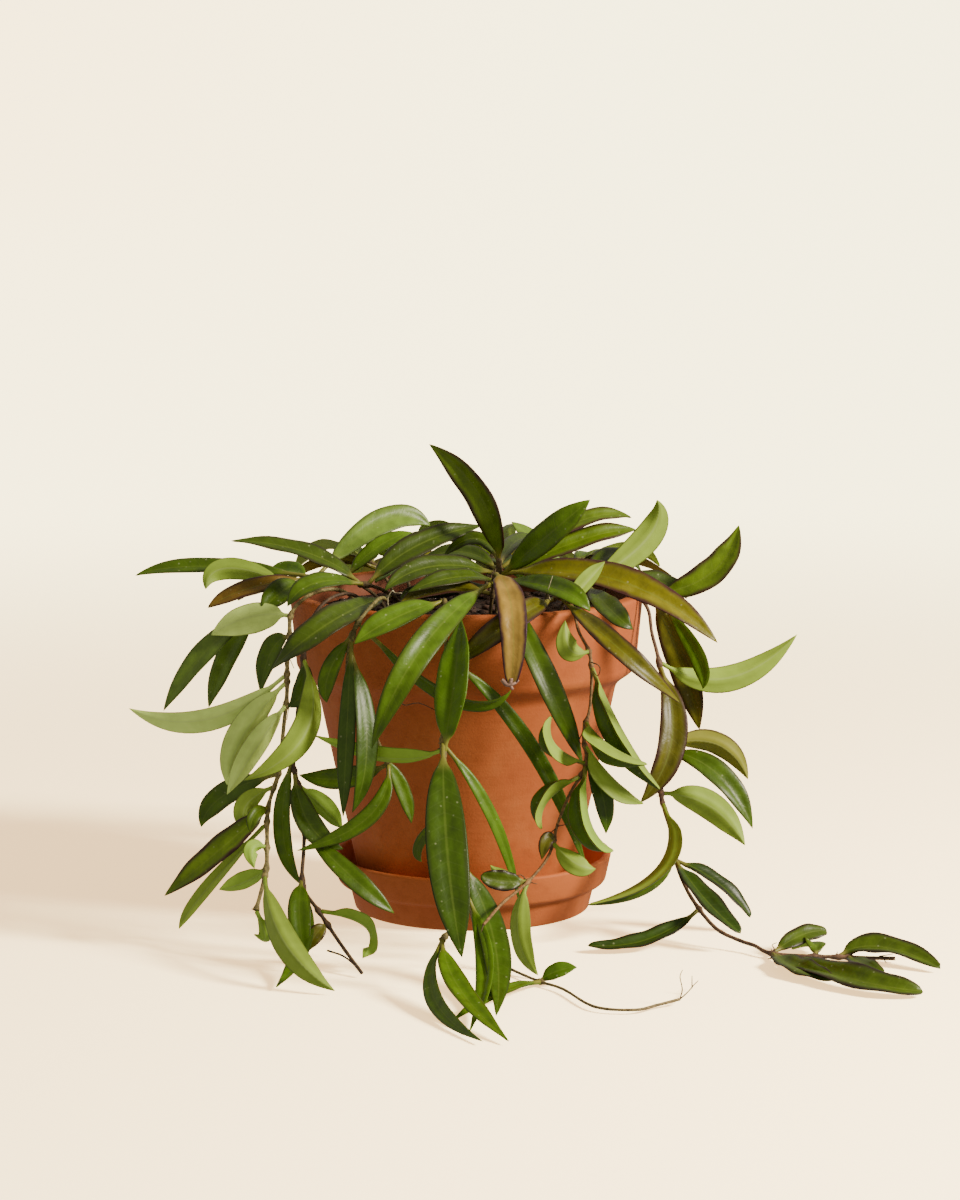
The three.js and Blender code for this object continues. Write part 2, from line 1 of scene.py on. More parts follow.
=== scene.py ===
# %% [markdown]
# A potted hoya, dressed for its portrait.
# The frame holds plain solids of the clay pot, its saucer, the soil and sixteen leafy stems.
# This lesson replaces each of them with a finer piece of the same form and gives it a finish.
# The plant and the pot are worked out in millimetres, as on the bench, and MM turns them into
# Blender's metres. The studio around them is in metres from the start.

# %% Load the frame
import math
import random

import bmesh
import bpy
from mathutils import Matrix, Vector, noise


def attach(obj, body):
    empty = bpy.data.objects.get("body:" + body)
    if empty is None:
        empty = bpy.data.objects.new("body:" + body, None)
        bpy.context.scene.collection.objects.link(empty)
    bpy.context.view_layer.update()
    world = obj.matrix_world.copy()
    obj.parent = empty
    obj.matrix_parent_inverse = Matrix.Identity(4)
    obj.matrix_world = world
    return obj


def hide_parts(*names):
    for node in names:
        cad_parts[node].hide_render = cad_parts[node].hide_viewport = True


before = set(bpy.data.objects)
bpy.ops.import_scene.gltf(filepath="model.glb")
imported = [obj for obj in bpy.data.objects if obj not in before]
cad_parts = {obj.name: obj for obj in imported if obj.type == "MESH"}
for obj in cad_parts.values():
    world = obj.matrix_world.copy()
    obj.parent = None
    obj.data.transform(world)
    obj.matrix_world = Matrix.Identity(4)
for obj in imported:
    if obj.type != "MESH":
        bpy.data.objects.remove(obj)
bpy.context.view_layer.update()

MM = 0.001
BODY = "root"
chance = random.Random(11)
print("frame holds", len(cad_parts), "nodes")

# %% [markdown]
# The camera stands 1.6 m in front of the pot and looks a little down on it, with a long lens.
# A long lens keeps the pot's sides nearly parallel, as they are in the portrait.

# %% Camera
CAMERA_PLACE = (0.0036, -1.600, 0.374)
# Degrees up from straight down, so 90 would look level
CAMERA_TILT = 81.7
FILM_HEIGHT, LENS_LENGTH = 36, 107.25

camera_data = bpy.data.cameras.new("portrait_camera")
camera = bpy.data.objects.new("portrait_camera", camera_data)
bpy.context.scene.collection.objects.link(camera)
camera.location = CAMERA_PLACE
camera.rotation_euler = (math.radians(CAMERA_TILT), 0, 0)
camera_data.sensor_fit = "VERTICAL"
camera_data.sensor_height = FILM_HEIGHT
camera_data.lens = LENS_LENGTH
bpy.context.scene.camera = camera
print("camera lens", LENS_LENGTH, "mm")

# %% [markdown]
# Colours are written as sRGB hex, as a colour picker gives them, and shaders count in linear
# light, so one function turns the first into the second. A finish is a tree of nodes, and one
# helper adds a node with its settings and links.

# %% Colours, nodes and materials
def linear(hex_colour):
    """Linear colour and full alpha from an sRGB hex colour."""
    channels = [int(hex_colour[i:i + 2], 16) / 255 for i in (1, 3, 5)]
    return [c / 12.92 if c <= 0.04045 else ((c + 0.055) / 1.055) ** 2.4 for c in channels] + [1]


def add_node(tree, kind, inputs=None, **settings):
    """Add a node; each input takes a value, or the output of another node to link."""
    made = tree.nodes.new(kind)
    for name, value in settings.items():
        setattr(made, name, value)
    for name, value in (inputs or {}).items():
        if isinstance(value, bpy.types.NodeSocket):
            tree.links.new(value, made.inputs[name])
        else:
            made.inputs[name].default_value = value
    return made


# A colour mix has its factor, colours and result on these sockets
MIX_SHARE, MIX_FIRST, MIX_SECOND, MIX_RESULT = 0, 6, 7, 2


def new_material(name):
    """A new material, its node tree and its main shader."""
    material = bpy.data.materials.new(name)
    material.use_nodes = True
    return material, material.node_tree, material.node_tree.nodes["Principled BSDF"]


def scale_for(size):
    """Scale of a pattern whose features are this many millimetres wide."""
    return 1 / (size * MM)


print("mid grey is", round(linear("#808080")[0], 3), "in linear light")

# %% [markdown]
# The studio is a round cove of cream paper. Paper is matt: it scatters light evenly and gives no
# highlight, so it is rough and has little specular. Near the pot the lamps light it, and a warm
# glow is painted in as fill light in its shadows. Farther out it glows like the air, with painted
# shade that makes it a little darker and warmer on the left, so no edge shows from any side.

# %% Matte cream paper
PAPER, UNLIT = "#f1eac2", "#000000"
NEAR_GLOW, GLOW_RIGHT, GLOW_LEFT = "#9a7a52", "#fff0b8", "#ffe2a8"
GLOW_STRENGTH = 5.9
FADE_START, FADE_END = 0.3, 1.6
RIGHT_SIDE, LEFT_SIDE = 0.6, -2.5

paper, tree, shader = new_material("matte_cream_paper")
shader.inputs["Roughness"].default_value = 0.9
shader.inputs["Specular IOR Level"].default_value = 0.1
shader.inputs["Emission Strength"].default_value = GLOW_STRENGTH
place = add_node(tree, "ShaderNodeTexCoord").outputs["Object"]
distance = add_node(tree, "ShaderNodeVectorMath", {0: place}, operation="LENGTH").outputs["Value"]
fade = add_node(tree, "ShaderNodeMapRange",
                {"Value": distance, "From Min": FADE_START, "From Max": FADE_END},
                interpolation_type="SMOOTHSTEP").outputs["Result"]
lit_paper = add_node(tree, "ShaderNodeMix", {MIX_SHARE: fade, MIX_FIRST: linear(PAPER),
                                             MIX_SECOND: linear(UNLIT)}, data_type="RGBA")
tree.links.new(lit_paper.outputs[MIX_RESULT], shader.inputs["Base Color"])
sideways = add_node(tree, "ShaderNodeSeparateXYZ", {0: place}).outputs[0]
# Painted shade: the far glow turns a little darker and warmer towards the left
leftness = add_node(tree, "ShaderNodeMapRange", {"Value": sideways, "From Min": RIGHT_SIDE,
                                                 "From Max": LEFT_SIDE})
far_glow = add_node(tree, "ShaderNodeMix", {MIX_SHARE: leftness.outputs[0],
                                            MIX_FIRST: linear(GLOW_RIGHT),
                                            MIX_SECOND: linear(GLOW_LEFT)}, data_type="RGBA")
# Painted fill light: a weak warm glow near the pot lifts the shadows on the paper
glow = add_node(tree, "ShaderNodeMix", {MIX_SHARE: fade, MIX_FIRST: linear(NEAR_GLOW),
                                        MIX_SECOND: far_glow.outputs[MIX_RESULT]},
                data_type="RGBA")
tree.links.new(glow.outputs[MIX_RESULT], shader.inputs["Emission Color"])
print("paper fades into glow from", FADE_START, "to", FADE_END, "m")

# %% [markdown]
# A sheet of paper that is curved up at the back would show its ends from the side. So a wire with
# one rounded corner is spun about the upright axis: a flat floor whose rim curves up into a low
# wall. It sends no light to the plant, so the pot's far side stays deep in shade.

# %% Paper cove
COVE_RADIUS, COVE_HEIGHT, COVE_ROUND = 14.0, 5.0, 2.0
COVE_ROUND_STEPS, COVE_SPIN_STEPS = 12, 96

sheet = bmesh.new()
outline = [sheet.verts.new(point) for point in
           ((0, 0, 0), (COVE_RADIUS, 0, 0), (COVE_RADIUS, 0, COVE_HEIGHT))]
for first, second in zip(outline, outline[1:]):
    sheet.edges.new((first, second))
bmesh.ops.bevel(sheet, geom=[outline[1]], offset=COVE_ROUND, segments=COVE_ROUND_STEPS,
                profile=0.5, affect="VERTICES", material=-1)
bmesh.ops.spin(sheet, geom=sheet.verts[:] + sheet.edges[:], cent=(0, 0, 0), axis=(0, 0, 1),
               angle=math.tau, steps=COVE_SPIN_STEPS, use_merge=True)
bmesh.ops.remove_doubles(sheet, verts=sheet.verts, dist=1 * MM)
cove_mesh = bpy.data.meshes.new("paper_cove")
sheet.to_mesh(cove_mesh)
sheet.free()
cove_mesh.shade_smooth()
cove_mesh.materials.append(paper)
cove = bpy.data.objects.new("paper_cove", cove_mesh)
for reach in ("visible_diffuse", "visible_glossy", "visible_transmission", "visible_shadow"):
    setattr(cove, reach, False)
backdrop = bpy.data.collections.new("backdrop")
bpy.context.scene.collection.children.link(backdrop)
backdrop.objects.link(cove)
print("cove is", 2 * COVE_RADIUS, "m wide")

# %% [markdown]
# A large soft lamp stands to the right and a little in front, 30 degrees up, and throws the long
# soft shadow to the left. A twin in the same place lights the paper alone, as a studio keeps its
# backdrop brighter than the object. A weak warm air fills the shade.

# %% Air and lamps
AIR_COLOUR, AIR_STRENGTH = "#fff4e6", 0.5
LAMP_PLACE = (1.50, -0.67, 1.02)
LAMP_TARGET = (0, 0, 0.08)
LAMP_SIZE = 0.45
KEY_WATTS, KEY_COLOUR = 66, "#fff2e0"
PAPER_WATTS, PAPER_LIGHT = 160, "#fff0dc"

world = bpy.data.worlds.new("studio_air")
world.use_nodes = True
air = world.node_tree.nodes["Background"]
air.inputs["Color"].default_value = linear(AIR_COLOUR)
air.inputs["Strength"].default_value = AIR_STRENGTH
bpy.context.scene.world = world


def softbox(name, watts, colour):
    """A round soft lamp at the lamp's place, turned to the pot."""
    lamp_data = bpy.data.lights.new(name, "AREA")
    lamp_data.shape = "DISK"
    lamp_data.size = LAMP_SIZE
    lamp_data.energy = watts
    lamp_data.color = linear(colour)[:3]
    lamp = bpy.data.objects.new(name, lamp_data)
    lamp.location = LAMP_PLACE
    facing = Vector(LAMP_PLACE) - Vector(LAMP_TARGET)
    lamp.rotation_euler = facing.to_track_quat("Z", "Y").to_euler()
    bpy.context.scene.collection.objects.link(lamp)
    return lamp


softbox("key_softbox", KEY_WATTS, KEY_COLOUR)
paper_lamp = softbox("paper_softbox", PAPER_WATTS, PAPER_LIGHT)
paper_lamp.light_linking.receiver_collection = backdrop
print("air and two lamps are set")

# %% [markdown]
# Terracotta is red earthenware, fired bare. It is matt and warm, and its colour drifts from
# orange to brown where the kiln and the clay were uneven. A darker mottle shows close up, and a
# thin pale bloom of lime lies on it in patches. Noise at three sizes gives the three of them.

# %% Terracotta colour
CLAY_BROWN, CLAY_ORANGE = "#b35b29", "#be662e"
CLAY_BURNT, LIME_BLOOM = "#9c4c1c", "#cf8650"
DRIFT_SIZE, MOTTLE_SIZE, BLOOM_SIZE = 45, 6, 22

terracotta, tree, shader = new_material("fired_terracotta")
place = add_node(tree, "ShaderNodeTexCoord").outputs["Object"]
drift = add_node(tree, "ShaderNodeTexNoise",
                 {"Vector": place, "Scale": scale_for(DRIFT_SIZE), "Detail": 3})
mottle = add_node(tree, "ShaderNodeTexNoise",
                  {"Vector": place, "Scale": scale_for(MOTTLE_SIZE), "Detail": 4})
drift_share = add_node(tree, "ShaderNodeMapRange",
                       {"Value": drift.outputs[0], "From Min": 0.35, "From Max": 0.65})
warm = add_node(tree, "ShaderNodeMix", {MIX_SHARE: drift_share.outputs[0],
                                        MIX_FIRST: linear(CLAY_BROWN),
                                        MIX_SECOND: linear(CLAY_ORANGE)}, data_type="RGBA")
mottle_share = add_node(tree, "ShaderNodeMapRange", {"Value": mottle.outputs[0], "From Min": 0.5,
                                                     "From Max": 0.8, "To Max": 0.5})
darker = add_node(tree, "ShaderNodeMix", {MIX_SHARE: mottle_share.outputs[0],
                                          MIX_FIRST: warm.outputs[MIX_RESULT],
                                          MIX_SECOND: linear(CLAY_BURNT)}, data_type="RGBA")
bloom_noise = add_node(tree, "ShaderNodeTexNoise",
                       {"Vector": place, "Scale": scale_for(BLOOM_SIZE), "Detail": 6,
                        "Roughness": 0.65})
bloom_share = add_node(tree, "ShaderNodeMapRange",
                       {"Value": bloom_noise.outputs[0], "From Min": 0.55, "From Max": 0.78,
                        "To Max": 0.28})
bloom = add_node(tree, "ShaderNodeMix", {MIX_SHARE: bloom_share.outputs[0],
                                         MIX_FIRST: darker.outputs[MIX_RESULT],
                                         MIX_SECOND: linear(LIME_BLOOM)}, data_type="RGBA")
print("clay drifts over", DRIFT_SIZE, "mm")

# %% [markdown]
# Painted shade darkens the wall inside the lip, where the leaves shade it. It could be drawn on,
# but the band lies at a known distance from the pot's axis, so the distance and the height choose
# where it shows.

# %% Painted shade inside the lip
POT_CENTRE_X = -2.5
# Painted shade: this dark clay stands in for the shadow that the leaves cast inside the lip
PAINTED_SHADE_CLAY = "#5a2c18"
SHADE_FULL_RADIUS, SHADE_END_RADIUS, SHADE_FOOT = 73.8, 75.2, 120

level = add_node(tree, "ShaderNodeVectorMath", {0: place, 1: (1, 1, 0)}, operation="MULTIPLY")
reach = add_node(tree, "ShaderNodeVectorMath",
                 {0: level.outputs[0], 1: (POT_CENTRE_X * MM, 0, 0)}, operation="DISTANCE")
inside = add_node(tree, "ShaderNodeMapRange", {"Value": reach.outputs["Value"],
                                               "From Min": SHADE_FULL_RADIUS * MM,
                                               "From Max": SHADE_END_RADIUS * MM,
                                               "To Min": 0.85, "To Max": 0})
height = add_node(tree, "ShaderNodeSeparateXYZ", {0: place})
high_up = add_node(tree, "ShaderNodeMath", {0: height.outputs[2], 1: SHADE_FOOT * MM},
                   operation="GREATER_THAN")
painted_shade_share = add_node(tree, "ShaderNodeMath", {0: inside.outputs[0], 1: high_up.outputs[0]},
                      operation="MULTIPLY")
painted_shade = add_node(tree, "ShaderNodeMix", {MIX_SHARE: painted_shade_share.outputs[0],
                                        MIX_FIRST: bloom.outputs[MIX_RESULT],
                                        MIX_SECOND: linear(PAINTED_SHADE_CLAY)}, data_type="RGBA")
tree.links.new(painted_shade.outputs[MIX_RESULT], shader.inputs["Base Color"])
print("damp starts", SHADE_FOOT, "mm up")

# %% [markdown]
# Fine grog stands out of the clay as grit, and faint level rings stay from the turning. The
# rings are noise that is squashed flat. Both go into one bump, and the sheen stays weak and dull.

# %% Terracotta surface
GROG_SIZE = 0.9
RING_SQUASH = (12, 12, 700)

grog = add_node(tree, "ShaderNodeTexNoise",
                {"Vector": place, "Scale": scale_for(GROG_SIZE), "Detail": 2})
squash = add_node(tree, "ShaderNodeMapping", {"Vector": place, "Scale": RING_SQUASH})
rings = add_node(tree, "ShaderNodeTexNoise",
                 {"Vector": squash.outputs[0], "Scale": 1, "Detail": 2})
clay_height = add_node(tree, "ShaderNodeMath", {0: rings.outputs[0], 1: grog.outputs[0]},
                       operation="ADD")
clay_bump = add_node(tree, "ShaderNodeBump", {"Height": clay_height.outputs[0],
                                              "Strength": 0.35, "Distance": 0.25 * MM})
tree.links.new(clay_bump.outputs[0], shader.inputs["Normal"])
roughness = add_node(tree, "ShaderNodeMapRange", {"Value": mottle.outputs[0],
                                                  "To Min": 0.62, "To Max": 0.85})
tree.links.new(roughness.outputs[0], shader.inputs["Roughness"])
shader.inputs["IOR"].default_value = 1.5
shader.inputs["Specular IOR Level"].default_value = 0.4
print("terracotta has", len(tree.nodes), "nodes")

# %% [markdown]
# The pot and the saucer were pressed from red clay and fired without a glaze. Each is a turned
# form, so its outline is drawn once as a wire, its corners are rounded with a bevel, and the
# wire is spun about the upright axis. Clay is never quite round, so noise swells the wall a little.

# %% Turned clay
CLAY_SPIN_STEPS = 128
CORNER_STEPS = 4
# Height and length of the swells, and the radius from which they have their full height
SWELL_HEIGHT, SWELL_LENGTH, SWELL_START = 0.25, 45, 20


def finish_mesh(name, mesh_data, materials, nodes):
    """Turn a finished bmesh into a piece that rides on the body and stands for its nodes."""
    mesh = bpy.data.meshes.new(name)
    bmesh.ops.recalc_face_normals(mesh_data, faces=mesh_data.faces)
    mesh_data.to_mesh(mesh)
    mesh_data.free()
    for material in materials:
        mesh.materials.append(material)
    mesh.shade_smooth()
    piece = bpy.data.objects.new(name, mesh)
    bpy.context.scene.collection.objects.link(piece)
    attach(piece, BODY)
    if nodes:
        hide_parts(*nodes)


def turned_form(outline, roundings, centre_x):
    """Spin an outline of (radius, height) points; roundings holds one radius for each point."""
    form = bmesh.new()
    corners = [form.verts.new((radius * MM, 0, height * MM)) for radius, height in outline]
    for first, second in zip(corners, corners[1:]):
        form.edges.new((first, second))
    for corner, rounding in zip(corners, roundings):
        if rounding:
            bmesh.ops.bevel(form, geom=[corner], offset=rounding * MM, segments=CORNER_STEPS,
                            profile=0.5, affect="VERTICES", material=-1)
    bmesh.ops.spin(form, geom=form.verts[:] + form.edges[:], cent=(0, 0, 0), axis=(0, 0, 1),
                   angle=math.tau, steps=CLAY_SPIN_STEPS, use_merge=True)
    bmesh.ops.remove_doubles(form, verts=form.verts, dist=0.01 * MM)
    for vert in form.verts:
        radius = math.hypot(vert.co.x, vert.co.y)
        if radius > 1 * MM:
            uneven = SWELL_HEIGHT * MM * noise.noise(vert.co / (SWELL_LENGTH * MM))
            swell = uneven * min(1, radius / (SWELL_START * MM))
            vert.co.x *= 1 + swell / radius
            vert.co.y *= 1 + swell / radius
    bmesh.ops.translate(form, verts=form.verts, vec=(centre_x * MM, 0, 0))
    return form


print("turned forms have", CLAY_SPIN_STEPS, "sides")

# %% [markdown]
# The saucer is a flat dish. Its wall leans out, steps out once more at a shoulder, and ends in a
# round lip. The outline runs from the axis under the base, up the wall and back over the floor.

# %% Saucer
SAUCER_BASE, SAUCER_WALL, SAUCER_RIM, SAUCER_INNER = 53.3, 56.0, 63.8, 52.0
SAUCER_STEP, SAUCER_TOP, SAUCER_FLOOR, SAUCER_LIP = 10.8, 25.3, 7.7, 3.3
SHOULDER_IN, SHOULDER_RISE = 2.8, 1.6

saucer_outline = [
    (0, 0), (SAUCER_BASE, 0), (SAUCER_WALL, SAUCER_STEP),
    (SAUCER_RIM - SHOULDER_IN, SAUCER_STEP + SHOULDER_RISE),
    (SAUCER_RIM, SAUCER_TOP), (SAUCER_RIM - SAUCER_LIP, SAUCER_TOP),
    (SAUCER_INNER, SAUCER_FLOOR), (0, SAUCER_FLOOR)]
saucer_roundings = [0, 0.8, 0.7, 1.6, 1.4, 1.1, 3, 0]
finish_mesh("clay_saucer", turned_form(saucer_outline, saucer_roundings, 0),
            [terracotta], ["saucer"])
print("saucer is", SAUCER_TOP, "mm high")

# %% [markdown]
# The pot tapers to its foot and carries a deep rim band, which hangs out over a small hollow. Its
# floor has a drain hole. The outline is a closed loop, from the drain hole up the outside, over
# the lip and down the inside, so the spin gives the wall its thickness at once.

# %% Pot
POT_FOOT, POT_TOP, POT_FLOOR, DRAIN = 8.0, 145.0, 17.0, 11.0
POT_BASE, POT_NECK, POT_RIM, POT_INNER_FOOT, POT_INNER_TOP = 47.8, 68.4, 80.0, 42.0, 73.2
BAND_HEIGHT, BAND_TAPER, BAND_ROUND = 38, 3.4, 3.6
HOLLOW_IN, HOLLOW_OUT, HOLLOW_DROP = 0.4, 3, 3

band_foot = POT_TOP - BAND_HEIGHT
pot_outline = [
    (DRAIN, POT_FOOT), (POT_BASE, POT_FOOT), (POT_NECK - HOLLOW_IN, band_foot - HOLLOW_DROP),
    (POT_NECK + HOLLOW_OUT, band_foot), (POT_RIM - BAND_TAPER, band_foot + BAND_ROUND),
    (POT_RIM, POT_TOP), (POT_INNER_TOP, POT_TOP),
    (POT_INNER_FOOT, POT_FLOOR), (DRAIN, POT_FLOOR), (DRAIN, POT_FOOT)]
pot_roundings = [0, 1.6, 2.4, 0.8, 2.4, 2.0, 1.4, 2, 0.8, 0]
finish_mesh("clay_pot", turned_form(pot_outline, pot_roundings, POT_CENTRE_X),
            [terracotta], ["pot"])
print("pot is", POT_TOP - POT_FOOT, "mm high")

# %% [markdown]
# The soil is a dark mix of peat and bark chips, crumbly and without any shine. Crumbs a few
# millimetres wide vary it between nearly black and brown, and the same noise roughens it.

# %% Peat and bark
PEAT, BARK_CHIP = "#1d130f", "#54392a"
CRUMB_SIZE = 4

soil_finish, tree, shader = new_material("peat_and_bark")
place = add_node(tree, "ShaderNodeTexCoord").outputs["Object"]
crumbs = add_node(tree, "ShaderNodeTexNoise",
                  {"Vector": place, "Scale": scale_for(CRUMB_SIZE), "Detail": 5})
crumb_share = add_node(tree, "ShaderNodeMapRange",
                       {"Value": crumbs.outputs[0], "From Min": 0.35, "From Max": 0.7})
earth = add_node(tree, "ShaderNodeMix", {MIX_SHARE: crumb_share.outputs[0],
                                         MIX_FIRST: linear(PEAT),
                                         MIX_SECOND: linear(BARK_CHIP)}, data_type="RGBA")
tree.links.new(earth.outputs[MIX_RESULT], shader.inputs["Base Color"])
earth_bump = add_node(tree, "ShaderNodeBump", {"Height": crumbs.outputs[0], "Strength": 0.9,
                                               "Distance": 0.8 * MM})
tree.links.new(earth_bump.outputs[0], shader.inputs["Normal"])
shader.inputs["Roughness"].default_value = 0.92
print("crumbs are", CRUMB_SIZE, "mm wide")

# %% [markdown]
# One turned bed carries the soil. Its top rises gently to the middle, and noise at two sizes
# pushes it up and down, as watering leaves it.

# %% Soil bed
SOIL_EDGE, SOIL_TOP, SOIL_RISE = 70.2, 135.2, 3.2
SOIL_SIDE_GAP, SOIL_FLOOR_GAP = 0.5, 0.3
SOIL_RINGS = 24
# Width and height of the lumps
SOIL_LUMPS = ((9, 1.6), (3, 0.8))
LUMP_SINK = 0.6

bed_outline = [(0, POT_FLOOR + SOIL_FLOOR_GAP),
               (POT_INNER_FOOT - SOIL_SIDE_GAP, POT_FLOOR + SOIL_FLOOR_GAP)]
for ring in range(SOIL_RINGS + 1):
    rise = SOIL_RISE * math.sin(math.pi / 2 * ring / SOIL_RINGS)
    bed_outline.append((SOIL_EDGE * (1 - ring / SOIL_RINGS), SOIL_TOP + rise))
bed = turned_form(bed_outline, [0] * len(bed_outline), POT_CENTRE_X)
for vert in bed.verts:
    if vert.co.z > SOIL_TOP * MM:
        lump = sum(tall * noise.noise(vert.co / (wide * MM)) for wide, tall in SOIL_LUMPS)
        vert.co.z += (lump - LUMP_SINK) * MM
print("bed has", len(bed.verts), "points")

# %% [markdown]
# Loose chips lie on the bed: small faceted lumps, each stretched and turned by a seeded draw. A
# chip has only twenty faces, because there are hundreds.

# %% Bark chips
CHIP_COUNT = 460
CHIP_SIZE, CHIP_BREADTH, CHIP_FLATNESS = (1.5, 3.8), (0.45, 0.8), 0.35
CHIP_MARGIN, CHIP_TILT = 3, 0.5

for _ in range(CHIP_COUNT):
    turn = chance.uniform(0, math.tau)
    reach = (SOIL_EDGE - CHIP_MARGIN) * math.sqrt(chance.random())
    lie = SOIL_TOP + SOIL_RISE * math.cos(math.pi / 2 * reach / SOIL_EDGE)
    centre = Vector((POT_CENTRE_X + reach * math.cos(turn), reach * math.sin(turn), lie)) * MM
    chip = bmesh.ops.create_icosphere(bed, subdivisions=1, radius=1 * MM)["verts"]
    size = chance.uniform(*CHIP_SIZE)
    breadth = size * chance.uniform(*CHIP_BREADTH)
    stretch = Matrix.Diagonal((size, breadth, size * CHIP_FLATNESS, 1))
    roll = Matrix.Rotation(chance.uniform(-CHIP_TILT, CHIP_TILT), 4, "X")
    spin = Matrix.Rotation(chance.uniform(0, math.tau), 4, "Z")
    shaped = Matrix.Translation(centre) @ spin @ roll @ stretch
    bmesh.ops.transform(bed, verts=chip, matrix=shaped)
finish_mesh("potting_soil", bed, [soil_finish], ["soil"])
print("soil has", CHIP_COUNT, "chips")

# %% [markdown]
# Every leafy stem follows a route of listed points, the same ones as in the frame, and each
# leaf hangs from it at a place along the route. A leaf row holds that place, the midrib's middle
# point, its tip, the blade's full width, the way its upper side faces, and its look. A last
# number, where there is one, folds that leaf more or less than its look does. A stem with two
# lists has a side shoot. The crown comes first: short stems whose leaves fan over the rim.

# %% Crown stems and their leaves, in millimetres
crown = [
    ([(11, -20, 124), (11, -20, 139), (12, -24, 152), (12, -27, 164)],
     [(2.6, (4.9, -30, 190), (-19, -25, 214), 13, (-0.5, -1, 0.1), "rimmed", 0.5),
      (2.2, (34, -38, 175), (52, -40, 191), 13, (-0.2, -1, 0.4), "fresh"),
      (2.5, (47, -12, 177), (72, 0, 178), 10, (0, -0.7, 0.9), "rimmed"),
      (2.2, (48, -14, 169), (74, -4, 173), 11, (0, -0.8, 0.8), "rimmed"),
      (2.1, (37, -66, 155), (51, -78, 147), 11, (0, -1, 0.8), "fresh"),
      (2.3, (-17, -48, 162), (-38, -66, 154), 12, (0, -0.9, 0.8), "crown"),
      (2.0, (-7, -54, 158), (-28, -64, 153), 10, (0, -0.8, 0.9), "crown"),
      (2.8, (1.8, -22, 171), (-13, -22, 163), 8, (0, -0.7, 0.8), "crown"),
      (2.3, (64, -50, 156), (107, -64, 131), 15, (0.1, -1, 0.9), "edged"),
      (1.9, (-16, -50, 151), (-31, -58, 149), 11, (0, -0.8, 0.8), "dusk"),
      (2.4, (-4.5, -8, 163), (-24, -4, 158), 10, (0, -0.6, 0.9), "crown"),
      (2.6, (22, 14, 166), (33, 24, 161), 10, (0, -0.4, 1), "crown")]),
]
crown_front = [
    ([(8, -48, 124), (8, -48, 139), (9, -54, 151), (10, -60, 161)],
     [(3, (17, -91, 150), (17, -101, 118), 12.5, (0, -1, 2), "bronze"),
      (2.6, (-21, -118, 137), (-42, -122, 95), 12.5, (0.2, -1, 0.6), "fresh"),
      (3, (31, -94, 121), (48, -82, 81), 11, (0.3, -1, 0.4), "deep"),
      (2, (-14, -54, 153), (-32, -66, 147), 10, (0, -0.7, 1), "olive")]),
]


def leaf_total(*stems):
    """How many leaves these stems carry."""
    return sum(len(leaves) for shoots in stems for route, leaves in shoots)


print("middle of the crown has", leaf_total(crown, crown_front), "leaves")

# %% [markdown]
# At both sides of the crown, longer stems lie over the rim. Their leaves spread outwards, and the
# lowest of them hang down past the rim band.

# %% Side stems of the crown
crown_right = [
    ([(40, -14, 124), (40, -14, 139), (46, -21, 148), (56, -27, 152), (68, -26, 151),
      (80, -22, 146), (87, -21, 140)],
     [(2.2, (63, 0, 161), (77, 8, 152), 9, (0, -0.6, 0.9), "crown"),
      (2.3, (78, -8, 169), (83, -6, 187), 13, (0, 1, -0.1), "pale", 0.35),
      (3, (82, -16, 151), (96, -20, 144), 11, (0, -0.7, 0.9), "crown"),
      (5, (107, -22, 156), (119, -18, 177), 13, (-0.3, -1, 0.3), "rimmed"),
      (2.6, (59, -78, 148), (69, -90, 141), 11, (0, -1, 0.7), "crown"),
      (5, (94, -20, 115), (102, -22, 85), 13, (-0.2, -1, 0.1), "olive", 0.3),
      (5.6, (100, -36, 121), (102, -42, 107), 8, (-0.4, -1, 0.2), "fresh")]),
]
crown_left = [
    ([(-30, -26, 124), (-30, -26, 139), (-36, -34, 148), (-44, -42, 153), (-50, -44, 154)],
     [(3.8, (-73, -40, 167), (-106, -42, 173), 11, (0, -0.6, 1), "crown"),
      (3.3, (-24, -30, 169), (4.9, -12, 176), 12, (0, -1, 0.8), "crown"),
      (1.9, (-60, -84, 143), (-86, -88, 123), 14.5, (0, -0.9, 1), "crown"),
      (3.5, (-68, -58, 156), (-80, -64, 147), 10.5, (0, -0.8, 1), "deep")]),
]
left_fan = [
    ([(-40, -4, 124), (-40, -4, 139), (-54, -11, 151), (-68, -18, 154), (-80, -21, 150),
      (-90, -25, 144), (-97, -28, 138)],
     [(3.2, (-120, -4, 156), (-152, -2, 152), 9.5, (0, -0.8, 1), "deep"),
      (4, (-109, -14, 157), (-119, -18, 148), 10, (0, 1, -0.2), "sage"),
      (3.6, (-85, -32, 148), (-93, -40, 141), 12, (0, -1, 0.6), "deep"),
      (3.4, (-98, -30, 150), (-117, -34, 142), 9, (0, -0.8, 0.7), "rust"),
      (3.5, (-82, -6, 155), (-93, -4, 153), 9, (0, -0.8, 0.8), "young"),
      (4.5, (-98, -14, 148), (-105, -12, 142), 10, (0, -0.8, 1), "deep"),
      (6, (-118, -34, 122), (-137, -36, 96), 11.5, (-0.6, -1, 0.5), "sage"),
      (5.6, (-108, -22, 120), (-118, -22, 95), 11, (-0.4, -1, 0.4), "sage"),
      (3.1, (-40, 8, 175), (-19, 18, 172), 13, (0, -1, 0.6), "sage"),
      (2.2, (-42, -4, 165), (-27, 3, 171), 9, (0, -0.8, 1), "fresh")]),
]
print("sides of the crown have", leaf_total(crown_right, crown_left, left_fan), "leaves")
